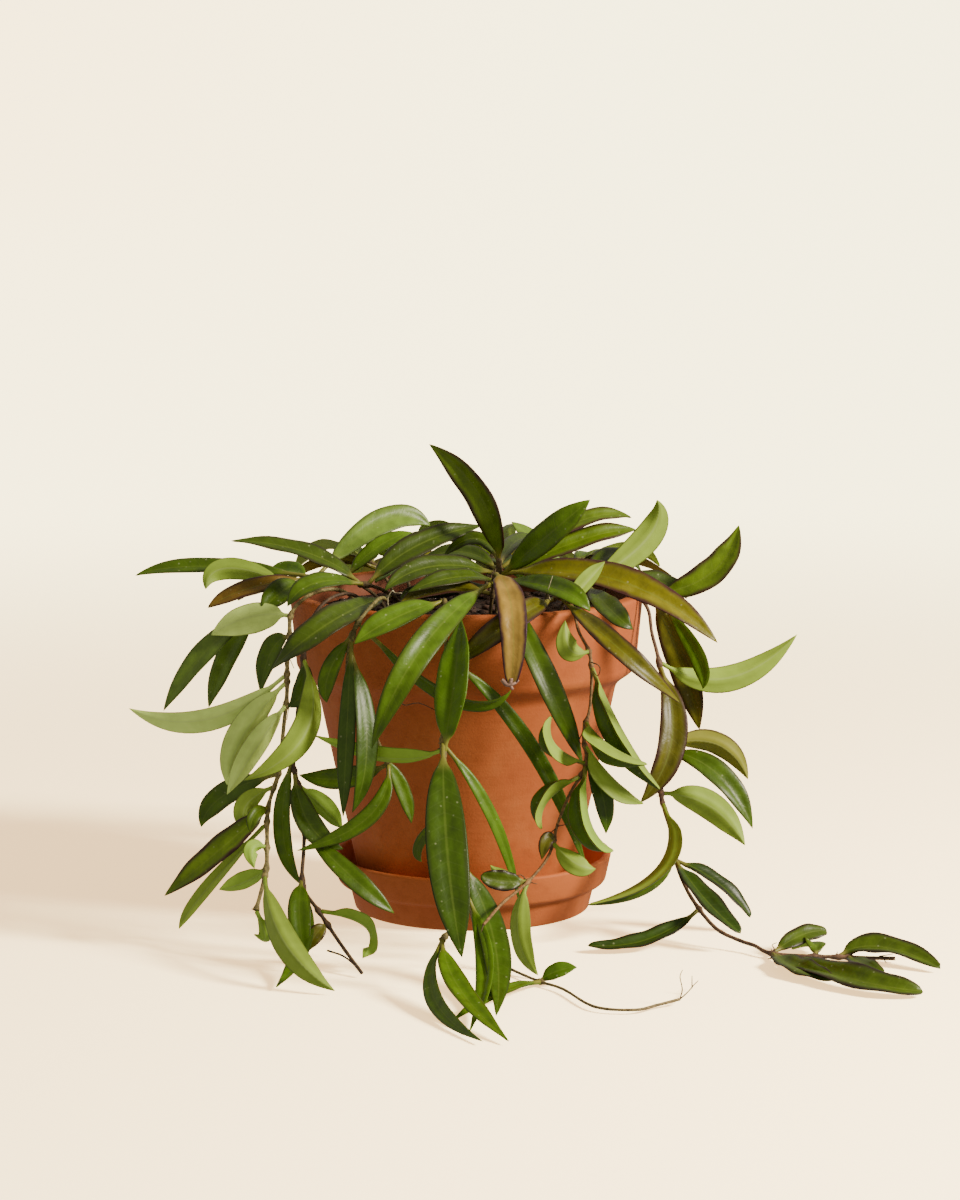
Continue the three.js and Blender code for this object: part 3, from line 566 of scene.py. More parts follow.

# %% [markdown]
# Three stems trail over the rim on the left. One of them carries a short bare side shoot at its
# end. Many of their leaves turn their pale underside to the front.

# %% Left trailing stems
# Leaves of the look light carry painted light on their undersides, which hang in shade
left_trailing = [
    ([(-48, -22, 124), (-48, -22, 139), (-58, -29, 149), (-70, -37, 149), (-79, -45, 142),
      (-80, -50, 132), (-81, -52, 118), (-81, -56, 107), (-82, -60, 96), (-83, -66, 85),
      (-84, -74, 75), (-88, -84, 62), (-88, -94, 48), (-88, -100, 39), (-90, -106, 30),
      (-92, -110, 23)],
     [(4.2, (-98, -42, 139), (-115, -42, 131), 14, (0, 1, -0.4), "light"),
      (5, (-88, -46, 124), (-93, -48, 106), 11, (-0.6, -1, 0.3), "deep"),
      (6.2, (-117, -46, 94), (-152, -40, 98), 10.5, (0, 1, -0.3), "light"),
      (6.5, (-100, -60, 90), (-107, -64, 68), 13, (-0.4, 1, -0.1), "light"),
      (7.4, (-94, -72, 86), (-106, -80, 67), 10.5, (-0.4, 1, -0.1), "light"),
      (10, (-109, -58, 62), (-119, -58, 48), 11, (-0.3, -1, 0.3), "fresh"),
      (10.4, (-98, -82, 62), (-95, -88, 51), 9.5, (0, 1, 0), "pale"),
      (11, (-93, -94, 61), (-95, -97, 54), 6, (0, -1, 0.3), "pale"),
      (11, (-108, -90, 45), (-133, -88, 24), 11.5, (0, -1, 0.8), "rimmed"),
      (11.4, (-116, -76, 24), (-128, -74, 6), 6, (0, 1, 0.2), "pale"),
      (12.1, (-94, -98, 47), (-93, -101, 39), 7, (-0.3, 1, 0), "fresh"),
      (13, (-98, -95, 32), (-109, -93, 28), 8.5, (0, 1, 0.3), "fresh"),
      (13.3, (-78, -149, 19), (-56, -166, 2), 11.5, (0.5, 0.5, -0.7), "pale"),
      (15, (-88, -112, 12), (-93, -108, 12), 6, (0, 0.8, 0.3), "fresh")]),
]
left_inner = [
    ([(-42, -36, 124), (-42, -36, 139), (-53, -47, 150), (-64, -57, 148), (-71, -61, 137),
      (-74, -63, 119), (-76, -68, 99), (-77, -80, 80), (-72, -88, 64), (-72, -98, 47),
      (-72, -108, 33), (-65, -116, 24), (-55, -124, 11), (-46, -137, 2.2)],
     [(4.75, (-71, -92, 97), (-98, -94, 76), 12.5, (-0.4, 1, -0.1), "pale"),
      (6.8, (-81, -90, 54), (-73, -98, 31), 9, (-0.5, -1, 0), "fresh"),
      (9.8, (-73, -120, 23), (-70, -128, 6), 10, (0.1, -1, 0.2), "fresh"),
      (10, (-71, -127, 12), (-81, -160, 2), 8.5, (-0.3, -1, 1), "fresh"),
      (7.15, (-70, -94, 57), (-55, -98, 47), 11, (0.3, -1, 0.3), "deep"),
      (7.5, (-64, -82, 62), (-56, -88, 54), 9, (0.2, 1, 0), "fresh"),
      (8.6, (-51, -106, 36), (-33, -108, 21), 9.5, (0.2, -1, 0.6), "fresh"),
      (11, (-44, -124, 19), (-46, -131, 7), 13, (0.7, 0.7, 1), "fresh"),
      (11.4, (-66, -122, 15), (-69, -126, 9), 7, (0, -1, 0.3), "olive"),
      (4.7, (-73, -68, 111), (-80, -71, 104), 9, (-0.3, -1, 0.3), "deep")]),
    ([(-48, -134, 4), (-54, -129, 7.5), (-61, -125, 9)],
     []),
]
left_front = [
    ([(-34, -44, 124), (-34, -44, 139), (-38, -60, 150), (-43, -74, 149), (-51, -83, 138),
      (-53, -87, 118), (-44, -88, 100), (-36, -87, 82)],
     [(4.1, (-53, -98, 96), (-55, -99, 61), 8.5, (-0.5, -1, 0.2), "silver"),
      (4.3, (-45, -101, 95), (-51, -104, 64), 10.5, (0.6, -1, 0.2), "silver"),
      (4, (-61, -88, 122), (-62, -89, 109), 8, (0, -1, 0.4), "fresh"),
      (3.7, (-8, -95, 113), (17, -97, 116), 8, (0, -0.8, -0.6), "fresh", 0.6),
      (7, (-55, -80, 74), (-75, -76, 75), 10, (0, -1, 0.5), "deep"),
      (7, (-44, -98, 61), (-75, -102, 47), 8, (0, -1, 0.4), "fresh"),
      (6.8, (-30, -86, 70), (-26, -88, 56), 7, (0.4, -1, 0.3), "fresh")]),
]
print("left side has", leaf_total(left_trailing, left_inner, left_front), "leaves")

# %% [markdown]
# In front one stem hangs down the pot and sends a nearly bare side shoot along the floor. Its
# lowest leaves are long, and they reach the floor in front of the saucer.

# %% Front trailing stem
front_trailing = [
    ([(-12, -50, 124), (-12, -50, 139), (-12, -66, 150), (-11, -84, 147), (-11, -93, 130),
      (-11, -103, 112), (-12, -112, 93), (-8, -120, 74), (-6, -128, 54), (-2, -137, 36),
      (-7, -150, 27), (-12, -160, 22)],
     [(5.8, (-10, -148, 57), (-3.8, -166, 16), 17.5, (0, -1, 0.5), "silver"),
      (5.9, (8, -110, 64), (21, -96, 21), 6, (0.6, -1, 0.2), "young"),
      (6.1, (-7, -105, 120), (-4.5, -84, 145), 15.5, (-0.5, -1, 0.1), "young", 0.4),
      (6, (-37, -97, 87), (-68, -84, 94), 9, (0, 1, 0.5), "fresh"),
      (4, (25, -83, 89), (51, -79, 30), 7.5, (0.3, -1, 0.4), "young"),
      (7.2, (-21, -120, 55), (-21, -119, 46), 5, (-0.4, -1, 0.4), "pale"),
      (2.3, (-33, -88, 145), (-50, -99, 136), 13, (0, -0.9, 1), "fresh"),
      (8.2, (9, -148, 20), (10, -206, 2), 12.5, (0.2, -0.8, 1), "silver"),
      (9, (6, -165, 12), (-0.7, -229, 2), 8, (-0.4, -0.5, 1), "young"),
      (10.8, (-15, -194, 7), (4.8, -244, 2), 7.5, (-0.8, -0.5, 1), "fresh"),
      (11, (-4.9, -194, 10), (15, -244, 2), 10, (0.2, -0.8, 1), "fresh")]),
    ([(-2, -137, 36), (2, -126, 18), (9, -124, 5), (17, -132, 2.5), (24, -143, 2), (29, -151, 2),
      (38, -163, 2), (50, -191, 2), (66, -196, 2), (76, -188, 2), (85, -183, 3)],
     [(5, (12, -177, 4), (-8, -215, 2), 7, (0, -0.4, 1), "fresh"),
      (4.9, (36, -150, 6), (44, -150, 8), 8, (0, -0.8, 1), "young")]),
]
print("front stem has", leaf_total(front_trailing), "leaves")

# %% [markdown]
# On the right one stem hangs close to the pot and shows many pale undersides. The longest stem of
# all reaches the floor and creeps along it, with a bunch of dark leaves at its end.

# %% Right trailing stems
right_front = [
    ([(30, -40, 124), (30, -40, 139), (36, -54, 149), (43, -72, 149), (46, -82, 139),
      (51, -85, 128), (51, -87, 108), (48, -90, 96), (49, -92, 83), (42, -94, 70), (37, -97, 58),
      (33, -102, 45), (24, -113, 36), (13, -140, 33), (5, -162, 29)],
     [(2.4, (62, -104, 135), (89, -96, 110), 10, (0, -1, 0.8), "olive"),
      (2.8, (50, -63, 158), (58, -58, 166), 8, (-0.3, 1, 0), "pale"),
      (2, (16, -87, 143), (-8, -86, 124), 11, (0.2, -1, 0.6), "olive", 0.7),
      (4.8, (42, -93, 133), (40, -90, 145), 10, (-0.3, 1, 0), "pale", 0.35),
      (5.2, (64, -96, 98), (81, -94, 72), 12, (-0.8, -0.65, -0.45), "pale", 1),
      (6.6, (58, -104, 93), (75, -104, 85), 12, (-0.5, -0.5, -0.8), "pale", 0.9),
      (7.4, (60, -94, 77), (74, -90, 65), 12, (-0.7, 0.5, -0.5), "pale", 0.6),
      (8, (50, -102, 60), (61, -98, 46), 12, (-0.9, -0.6, -0.3), "fresh", 1),
      (8, (56, -88, 68), (58, -86, 51), 10, (0.6, -1, 0.1), "silver"),
      (8, (35, -102, 93), (34, -98, 105), 9.5, (-0.9, -0.35, -0.45), "pale", 0.9),
      (8.4, (32, -102, 69), (30, -100, 56), 9.5, (-0.9, -0.3, 0.3), "pale", 0.9),
      (10.6, (44, -108, 43), (53, -106, 40), 9.5, (0, 0.9, -0.4), "pale", 0.3),
      (10.5, (32, -104, 52), (30, -106, 44), 6, (0, -1, 0.2), "olive"),
      (12, (20, -126, 17), (28, -140, 2), 11, (0.5, 0.85, 0), "pale", 0.25),
      (12, (12, -116, 37), (4, -118, 40), 9, (0, -1, 0.4), "dusk"),
      (12, (14, -114, 38), (8, -112, 43), 6, (0.2, 1, 0.2), "pale")]),
]
right_trailing = [
    ([(52, -10, 124), (52, -10, 139), (62, -16, 149), (70, -22, 149), (78, -26, 141),
      (80, -30, 130), (83, -34, 118), (85, -36, 101), (86, -38, 81), (84, -42, 60),
      (88, -46, 44), (90, -52, 32), (94, -62, 22), (100, -74, 14), (107, -84, 8), (116, -91, 5),
      (122, -96, 4), (129, -104, 2.4), (147, -107, 2), (163, -109, 2), (181, -111, 2)],
     [(6, (114, -31, 110), (145, -26, 129), 12, (0, 1, -0.3), "pale"),
      (6.1, (88, -50, 86), (74, -58, 59), 13, (0.2, -1, 0.2), "olive"),
      (8, (109, -36, 81), (123, -36, 65), 10.5, (0, 1, 0.1), "olive"),
      (8.1, (109, -48, 69), (124, -52, 46), 12, (0.3, -1, 0.7), "deep"),
      (9, (106, -36, 53), (122, -36, 35), 13, (-0.3, 1, 0.2), "pale", 0.3),
      (9.2, (83, -66, 33), (50, -84, 19), 12, (0.7, -0.3, -0.6), "pale", 0.8),
      (11, (101, -78, 20), (116, -95, 9), 12, (0.6, -1, 0.9), "night"),
      (11, (109, -54, 21), (123, -57, 7), 10.5, (0.3, -0.4, 1), "night"),
      (12.9, (76, -88, 4.1), (50, -94, 3.5), 9.5, (0, -0.5, 1), "night"),
      (17, (143, -94, 8), (154, -88, 8), 9, (0, -0.8, 0.8), "dusk", 0.25),
      (17, (137, -134, 3.2), (151, -149, 2.3), 12, (0, -0.6, 1), "dusk"),
      (17, (157, -154, 3.6), (186, -168, 2.1), 15, (0, -0.6, 1), "dusk"),
      (18, (147, -96, 4.2), (138, -94, 2), 10, (0, 0.5, 0.9), "pale"),
      (18.6, (175, -109, 6), (198, -129, 2), 13, (0, -0.5, 1), "dusk"),
      (18.9, (165, -131, 3.8), (173, -141, 2.9), 9, (0, -0.4, 1), "dusk")]),
]
print("right side has", leaf_total(right_front, right_trailing), "leaves")

# %% [markdown]
# The portrait doesn't show the back of the crown, so three short stems fill it as they would on a
# plant that is turned to the light now and then.

# %% Back stems of the crown
crown_back = [
    ([(6, 34, 124), (6, 34, 139), (8, 40, 150), (10, 46, 157)],
     [(2.9, (14, 72, 164), (18, 104, 150), 12, (0, 1, 2), "deep"),
      (2.6, (-12, 64, 164), (-26, 88, 156), 13, (0, 1, 1), "fresh"),
      (2.3, (34, 64, 156), (50, 86, 140), 12, (0.4, 1, 1), "sage"),
      (2.1, (34, 47, 160), (54, 60, 162), 12, (0, 0.5, 1), "edged"),
      (2.8, (-14, 44, 163), (-38, 46, 160), 11, (0, 0.6, 1), "deep"),
      (2.2, (8, 84, 149), (6, 104, 122), 13, (0, 1, 0.8), "silver"),
      (2.1, (14, 27, 154), (24, 10, 147), 12, (0, -0.3, 1), "deep"),
      (1.9, (-8, 24, 152), (-22, 8, 147), 12, (0, -0.3, 1), "fresh")]),
]
crown_back_left = [
    ([(-36, 26, 124), (-36, 26, 139), (-42, 32, 149), (-48, 38, 153)],
     [(3, (-68, 58, 157), (-84, 72, 144), 12, (-0.3, 1, 1), "sage"),
      (2.6, (-52, 72, 152), (-60, 96, 132), 13, (0, 1, 0.8), "fresh"),
      (2.4, (-32, 58, 160), (-34, 82, 158), 11, (0, 0.8, 1), "deep"),
      (2.2, (-66, 32, 153), (-88, 34, 142), 12, (-0.3, 0.4, 1), "olive"),
      (2, (-36, 14, 153), (-44, -4, 149), 12, (0, -0.3, 1), "deep")]),
]
crown_back_right = [
    ([(34, 20, 124), (34, 20, 139), (42, 26, 150), (50, 30, 154)],
     [(3, (70, 44, 158), (88, 58, 148), 12, (0.3, 0.6, 1), "deep"),
      (2.6, (58, 64, 152), (70, 84, 134), 13, (0.2, 1, 0.8), "fresh"),
      (2.4, (68, 22, 156), (92, 20, 148), 11, (0.2, 0.3, 1), "olive"),
      (2.1, (30, 30, 162), (18, 34, 172), 10, (0, -0.6, 1), "sage"),
      (2, (46, 12, 153), (50, -2, 147), 12, (0, -0.3, 1), "deep")]),
]
print("back of the crown has", leaf_total(crown_back, crown_back_left, crown_back_right), "leaves")

# %% [markdown]
# The side away from the portrait repeats courses from the front, turned about the pot's axis, so
# that the plant is whole from every side. The plant's order here is the order in which it grows.

# %% The sixteen leafy stems
def like_course(shoots, degrees):
    """The same shoots, turned about the pot's axis by this many degrees."""
    turn = Matrix.Rotation(math.radians(degrees), 3, "Z")
    centre = Vector((POT_CENTRE_X, 0, 0))

    def moved(point):
        return tuple(turn @ (Vector(point) - centre) + centre)

    def faced(direction):
        return tuple(turn @ Vector(direction))

    return [([moved(point) for point in route],
             [(place, moved(middle), moved(tip), width, faced(faces), *rest)
              for place, middle, tip, width, faces, *rest in leaves])
            for route, leaves in shoots]


plant = {
    "crown_back_stem": crown_back,
    "crown_back_left_stem": crown_back_left,
    "crown_back_right_stem": crown_back_right,
    "back_left_trailing_stem": like_course(right_front, 172),
    "back_right_trailing_stem": like_course(left_inner, 216),
    "crown_stem": crown,
    "crown_front_stem": crown_front,
    "crown_right_stem": crown_right,
    "crown_left_stem": crown_left,
    "left_fan_stem": left_fan,
    "left_trailing_stem": left_trailing,
    "left_inner_stem": left_inner,
    "left_front_stem": left_front,
    "front_trailing_stem": front_trailing,
    "right_front_stem": right_front,
    "right_trailing_stem": right_trailing,
}
print(len(plant), "leafy stems carry", leaf_total(*plant.values()), "leaves")

# %% [markdown]
# A hoya leaf is thick and waxy: it feels like soft leather. It could be a flat card with its
# outline cut out, but the fold along the midrib and the round edge carry the light, so each
# leaf is a closed skin. A grid is wrapped round on itself, and its rows follow the midrib.

# %% Closed skins
DOUBLE_DISTANCE = 0.01 * MM


def add_skin(form, around, rows, corner):
    """Wrap a grid into a closed skin; corner gives a vertex its place from its turn and row."""
    made = bmesh.ops.create_grid(form, x_segments=around, y_segments=rows, size=1)["verts"]
    for face in {face for vert in made for face in vert.link_faces}:
        face.material_index = 0 if face.calc_center_median().x < 0 else 1
    for vert in made:
        turn = (vert.co.x + 1) * math.pi
        row = round((vert.co.y + 1) / 2 * rows)
        vert.co = corner(vert, turn, row) * MM
    bmesh.ops.remove_doubles(form, verts=made, dist=DOUBLE_DISTANCE)


print("a skin merges what lies within", DOUBLE_DISTANCE, "m")

# %% [markdown]
# The leaves differ with age and light. Old ones are dark or olive with a red-brown rim, young
# ones are fresh green, and some hang with their pale underside to the front. The look named light
# is a brighter copy of pale, with painted light on the underside of leaves that hang in shade.
# Each row above names one of these looks, and its numbers shape the blade as well.

# %% Leaf looks
# Each look: upper side, underside, margin, how strongly the margin shows, wave of the edge,
# fold, fullness of the blade (a low number keeps it broad up to its ends), and point of the
# tip (a low number makes it blunt)
LOOKS = {
    "fresh": ("#4e6c0a", "#90b43c", "#34300e", 0.6, 0.04, 0.34, 0.58, 0.85),
    "deep": ("#46600a", "#88a82c", "#2c2812", 0.65, 0.04, 0.36, 0.58, 0.85),
    "crown": ("#3e520a", "#7c9828", "#2c2214", 0.8, 0.08, 0.34, 0.55, 0.85),
    "rimmed": ("#5a7210", "#88982c", "#3a201a", 1, 0.08, 0.4, 0.5, 0.8),
    "olive": ("#5c5a0c", "#86882c", "#3a2018", 1, 0.07, 0.4, 0.52, 0.8),
    "edged": ("#6e6a10", "#8c8a30", "#442420", 1, 0.08, 0.36, 0.48, 0.75),
    "bronze": ("#967a34", "#967a34", "#361c26", 1, 0.08, 0.3, 0.38, 0.38),
    "sage": ("#64802c", "#86a238", "#38401a", 0.6, 0.04, 0.3, 0.55, 0.8),
    "pale": ("#4a620a", "#94b03e", "#3c3c14", 0.6, 0.03, 0.42, 0.6, 0.85),
    # Painted light: a brighter copy of the pale underside, for leaves that hang in shade
    "light": ("#5a7418", "#d0ee7c", "#4c4c1c", 0.5, 0.03, 0.42, 0.6, 0.85),
    "dusk": ("#465a0a", "#8c9e38", "#281a12", 1, 0.1, 0.45, 0.5, 0.45),
    "night": ("#2c420a", "#8c9e38", "#1e160c", 1, 0.08, 0.45, 0.5, 0.45),
    "young": ("#4c6c0c", "#8cac38", "#4c5c18", 0.3, 0.03, 0.35, 0.62, 0.9),
    "rust": ("#6c5418", "#847024", "#40241a", 1, 0.04, 0.36, 0.5, 0.7),
    "silver": ("#3a5408", "#78943a", "#282c0c", 0.6, 0.03, 0.22, 0.55, 0.85),
}
print(len(LOOKS), "leaf looks")

# %% [markdown]
# A blade is laid out in stations along its midrib, closer together at both ends, where the
# outline turns fastest. The midrib bends once. The outline is a sine, kept full in the middle
# and drawn to a point at the tip. Behind it the blade shrinks to a round stalk.

# %% Stations of a leaf
LEAF_ROWS = 26
END_CROWDING = 0.45
PETIOLE_SHARE, PETIOLE_RADIUS, PETIOLE_TAPER = 0.1, 1.0, 0.8
WIDEST_SHIFT, POINT_START = 0.85, 0.65
BLADE_HALF_THICKNESS, TIP_THINNING = 0.75, 0.5
# Share of the leaf's length over which the stalk flattens, and over which the blade opens
FLATTENING, OPENING = (0.08, 0.2), (0.08, 0.22)


def smooth(start, end, value):
    """From 0 at the start to 1 at the end, without a kink at either."""
    share = min(1, max(0, (value - start) / (end - start)))
    return share * share * (3 - 2 * share)


def leaf_stations(base, middle, tip, width, faces, fullness, point):
    """For each row: midrib point, side, rise, half width, thickness, how far open, and place."""
    bend = 2 * middle - (base + tip) / 2
    stations = []
    for row in range(LEAF_ROWS + 1):
        crowded = (1 - math.cos(math.pi * row / LEAF_ROWS)) / 2
        t = crowded * END_CROWDING + row / LEAF_ROWS * (1 - END_CROWDING)
        centre = base * (1 - t) ** 2 + bend * 2 * t * (1 - t) + tip * t ** 2
        along = ((bend - base) * (1 - t) + (tip - bend) * t).normalized()
        side = along.cross(faces).normalized()
        rise = side.cross(along)
        blade = max(0, (t - PETIOLE_SHARE) / (1 - PETIOLE_SHARE))
        power = fullness + (point - fullness) * smooth(POINT_START, 1, blade)
        spread = 0
        if blade < 1:
            spread = math.sin(math.pi * blade ** WIDEST_SHIFT) ** power * width / 2
        petiole = PETIOLE_RADIUS * (1 - PETIOLE_TAPER * t)
        half = (spread ** 3 + petiole ** 3) ** (1 / 3) if 0 < row < LEAF_ROWS else 0
        flat = BLADE_HALF_THICKNESS * (1 - TIP_THINNING * t ** 3)
        thick = petiole + (flat - petiole) * smooth(*FLATTENING, t)
        stations.append((centre, side, rise, half, thick * (half > 0), smooth(*OPENING, t), t))
    return stations


print("a leaf has", LEAF_ROWS + 1, "stations")

# %% [markdown]
# The skin runs round each station. The two halves fold up from the midrib, the edges wave a
# little, each in its own rhythm, and a keel stands out below. Every point also keeps where on
# the blade it lies and its leaf's colours, so that one finish can serve every leaf.

# %% Skin of a leaf
LEAF_AROUND = 16
SHADE_RANGE, WAVE_RANGE = (0.86, 1.14), (2.2, 3.6)
RIGHT_EDGE_DELAY = 1.9
KEEL_HEIGHT, KEEL_WIDTH = 0.45, 0.14
EDGE_THINNING = 0.35


def add_leaf(form, layers, base, middle, tip, width, faces, look, fold_share=None):
    """One leaf with its own shade and edge wave, and its place and colours on every point."""
    upper, under, margin, margin_share, edge_wave, usual_fold, fullness, point = LOOKS[look]
    fold_share = fold_share or usual_fold
    shade = chance.uniform(*SHADE_RANGE)
    upper = [c * shade for c in linear(upper)[:3]] + [margin_share]
    under = [c * shade for c in linear(under)[:3]] + [1]
    phase, waves = chance.uniform(0, math.tau), chance.uniform(*WAVE_RANGE)
    length = (middle - base).length + (tip - middle).length
    stations = leaf_stations(base, middle, tip, width, faces, fullness, point)

    def corner(vert, turn, row):
        centre, side, rise, half, thick, opened, t = stations[row]
        s = math.cos(turn)
        flat = abs(s)
        fold = fold_share * half * (2 * flat - s * s)
        ripple = math.sin(waves * math.tau * t + phase + (s > 0) * RIGHT_EDGE_DELAY)
        wave = edge_wave * half * s * s * ripple
        keel = KEEL_HEIGHT * math.exp(-(s / KEEL_WIDTH) ** 2) * (math.sin(turn) < 0)
        above = thick * math.sin(turn) * (1 - EDGE_THINNING * flat * opened) * (1 + keel * opened)
        vert[layers["blade"]] = (s, t, t * length)
        vert[layers["upper"]] = upper
        vert[layers["under"]] = under
        vert[layers["margin"]] = linear(margin)
        return centre + side * half * s + rise * (above + (fold + wave) * opened)

    add_skin(form, LEAF_AROUND, LEAF_ROWS, corner)


print("a leaf's skin has", LEAF_AROUND * LEAF_ROWS, "faces")

# %% [markdown]
# A stem follows its listed points without a kink. Each stretch between two points is a
# cubic curve that leaves and arrives in the direction its neighbours give.

# %% Points on a route
def route_point(points, place):
    """Point and direction on the smooth course through the points; 2.5 is halfway from 2 to 3."""
    index = min(int(place), len(points) - 2)
    share = place - index
    here, there = Vector(points[index]), Vector(points[index + 1])
    before = Vector(points[index - 1]) if index else 2 * here - there
    after = Vector(points[index + 2]) if index + 2 < len(points) else 2 * there - here
    start, end = (there - before) / 2, (after - here) / 2
    square, cube = share ** 2, share ** 3
    point = (here * (2 * cube - 3 * square + 1) + there * (3 * square - 2 * cube)
             + start * (cube - 2 * square + share) + end * (cube - square))
    heading = (here * (6 * square - 6 * share) + there * (6 * share - 6 * square)
               + start * (3 * square - 4 * share + 1) + end * (3 * square - 2 * share))
    return point, heading.normalized()


halfway = route_point(crown[0][0], 1.5)[0]
print("halfway up, the crown stem is", round(halfway.z, 1), "mm above the floor")

# %% [markdown]
# A tube is a closed skin too, carried along its course without twisting: every ring takes its
# first side from the ring before. A root is such a tube, thinner towards its free end.

# %% Tubes and roots
ROOT_AROUND, ROOT_TAPER, ROOT_STEPS = 5, 0.45, 3


def add_tube(form, layer, colour, course, around):
    """A closed tube of one bark colour along a course of (centre, heading, radius) stations."""
    side = course[0][1].orthogonal().normalized()
    rings = []
    for centre, heading, radius in course:
        side = (side - heading * side.dot(heading)).normalized()
        rings.append((centre, side, heading.cross(side), radius))

    def corner(vert, turn, row):
        vert[layer] = linear(colour)
        if row in (0, len(rings) + 1):
            return rings[0 if row == 0 else -1][0]
        centre, first, second, radius = rings[row - 1]
        return centre + (first * math.cos(turn) + second * math.sin(turn)) * radius

    add_skin(form, around, len(rings) + 1, corner)


def add_root(form, layer, colour, points, radius):
    """A thin root through the points, thinner towards its free end."""
    last = len(points) - 1
    steps = max(ROOT_STEPS, ROOT_STEPS * last)
    course = []
    for step in range(steps + 1):
        point, heading = route_point(points, last * step / steps)
        course.append((point, heading, radius * (1 - ROOT_TAPER * step / steps)))
    add_tube(form, layer, colour, course, ROOT_AROUND)


print("a root has", ROOT_AROUND, "sides")

# %% [markdown]
# A stem is a slim round shoot, about 1.6 mm across. It thickens to twice that at each leaf joint,
# where short stubs of air root stand out. A seeded draw gives each joint none, one or two stubs,
# and noise keeps the shoot from looking drawn with a pen.

# %% Stems and joints
STEM_AROUND, STEM_ROW_LENGTH = 8, 2.0
JOINT_SWELL, JOINT_REACH, FAR_FROM_JOINTS = 0.8, 1.5, 99
UNEVEN_HEIGHT, UNEVEN_LENGTH = 0.08, 4
STUB_RADIUS, STUB_LENGTH = 0.3, (1.6, 2.6)
STUB_SHIFT, STUB_LEAN = 1.2, 0.6


def add_stem(form, layer, colour, route, places, radius):
    """A shoot along its route, thick at the leaf joints, with stubs of air root there."""
    last = len(route) - 1
    length = sum((Vector(b) - Vector(a)).length for a, b in zip(route, route[1:]))
    steps = round(length / STEM_ROW_LENGTH)
    joints = [route_point(route, place)[0] for place in places]
    course = []
    for step in range(steps + 1):
        point, heading = route_point(route, last * step / steps)
        nearest = min([(point - joint).length for joint in joints], default=FAR_FROM_JOINTS)
        swell = JOINT_SWELL * math.exp(-(nearest / JOINT_REACH) ** 2)
        uneven = UNEVEN_HEIGHT * noise.noise(point / UNEVEN_LENGTH)
        course.append((point, heading, radius + swell + uneven))
    add_tube(form, layer, colour, course, STEM_AROUND)
    for place in places:
        point, heading = route_point(route, place)
        for _ in range(chance.randint(0, 2)):
            start = point + heading * chance.uniform(-STUB_SHIFT, STUB_SHIFT)
            sideways = heading.orthogonal().normalized()
            sideways.rotate(Matrix.Rotation(chance.uniform(0, math.tau), 3, heading))
            out = sideways * chance.uniform(*STUB_LENGTH)
            end = start + out + heading * chance.uniform(-STUB_LEAN, STUB_LEAN)
            add_root(form, layer, colour, [start, end], STUB_RADIUS)


print("a stem has", STEM_AROUND, "sides and a ring every", STEM_ROW_LENGTH, "mm")

# %% [markdown]
# The upper side of a leaf is a smooth waxy green. Its colour is mottled, and side veins show
# faintly, slanting away from the midrib. The blade's own coordinates hold how far across and how
# many millimetres along each point lies, so the veins follow the leaf wherever it bends.

# %% Upper side: mottled green and veins
MOTTLED_SIZE, VEIN_SPACING = 7, 5.5
VEIN_SLANT, VEIN_STRENGTH = -0.9, 0.03
VEIN_COLOUR = "#a8b86a"

leaf_top, tree, shader = new_material("waxy_leaf_upper_side")
place = add_node(tree, "ShaderNodeTexCoord").outputs["Object"]
blade = add_node(tree, "ShaderNodeAttribute", attribute_name="blade").outputs["Vector"]
leaf_green = add_node(tree, "ShaderNodeAttribute", attribute_name="upper")
parts = add_node(tree, "ShaderNodeSeparateXYZ", {0: blade})
across = add_node(tree, "ShaderNodeMath", {0: parts.outputs[0]}, operation="ABSOLUTE").outputs[0]
cloud = add_node(tree, "ShaderNodeTexNoise",
                 {"Vector": place, "Scale": scale_for(MOTTLED_SIZE), "Detail": 4})
cloud_gain = add_node(tree, "ShaderNodeMapRange", {"Value": cloud.outputs[0], "From Min": 0.3,
                                                   "From Max": 0.7, "To Min": 0.72, "To Max": 1.3})
mottled = add_node(tree, "ShaderNodeVectorMath", {0: leaf_green.outputs["Color"],
                                                  "Scale": cloud_gain.outputs[0]},
                   operation="SCALE")
vein_count = add_node(tree, "ShaderNodeMath", {0: parts.outputs[2], 1: 1 / VEIN_SPACING},
                      operation="MULTIPLY")
vein_slant = add_node(tree, "ShaderNodeMath", {0: across, 1: VEIN_SLANT, 2: vein_count.outputs[0]},
                      operation="MULTIPLY_ADD")
vein_wave = add_node(tree, "ShaderNodeMath", {0: vein_slant.outputs[0], 1: 0.5},
                     operation="PINGPONG")
vein = add_node(tree, "ShaderNodeMapRange", {"Value": vein_wave.outputs[0], "From Max": 0.09,
                                             "To Min": 1, "To Max": 0},
                interpolation_type="SMOOTHSTEP")
vein_share = add_node(tree, "ShaderNodeMath", {0: vein.outputs[0], 1: VEIN_STRENGTH},
                      operation="MULTIPLY")
veined = add_node(tree, "ShaderNodeMix", {MIX_SHARE: vein_share.outputs[0],
                                          MIX_FIRST: mottled.outputs[0],
                                          MIX_SECOND: linear(VEIN_COLOUR)}, data_type="RGBA")
print("veins stand", VEIN_SPACING, "mm apart")

# %% [markdown]
# The midrib is a thin paler line, and small pale flecks lie scattered over the wax. The flecks
# are the middles of random cells, a few millimetres apart, so no two leaves match.

# %% Upper side: midrib and flecks
MIDRIB_COLOUR, FLECK_COLOUR = "#7d8f3a", "#cfd3a4"
FLECK_SPACING = 4.5

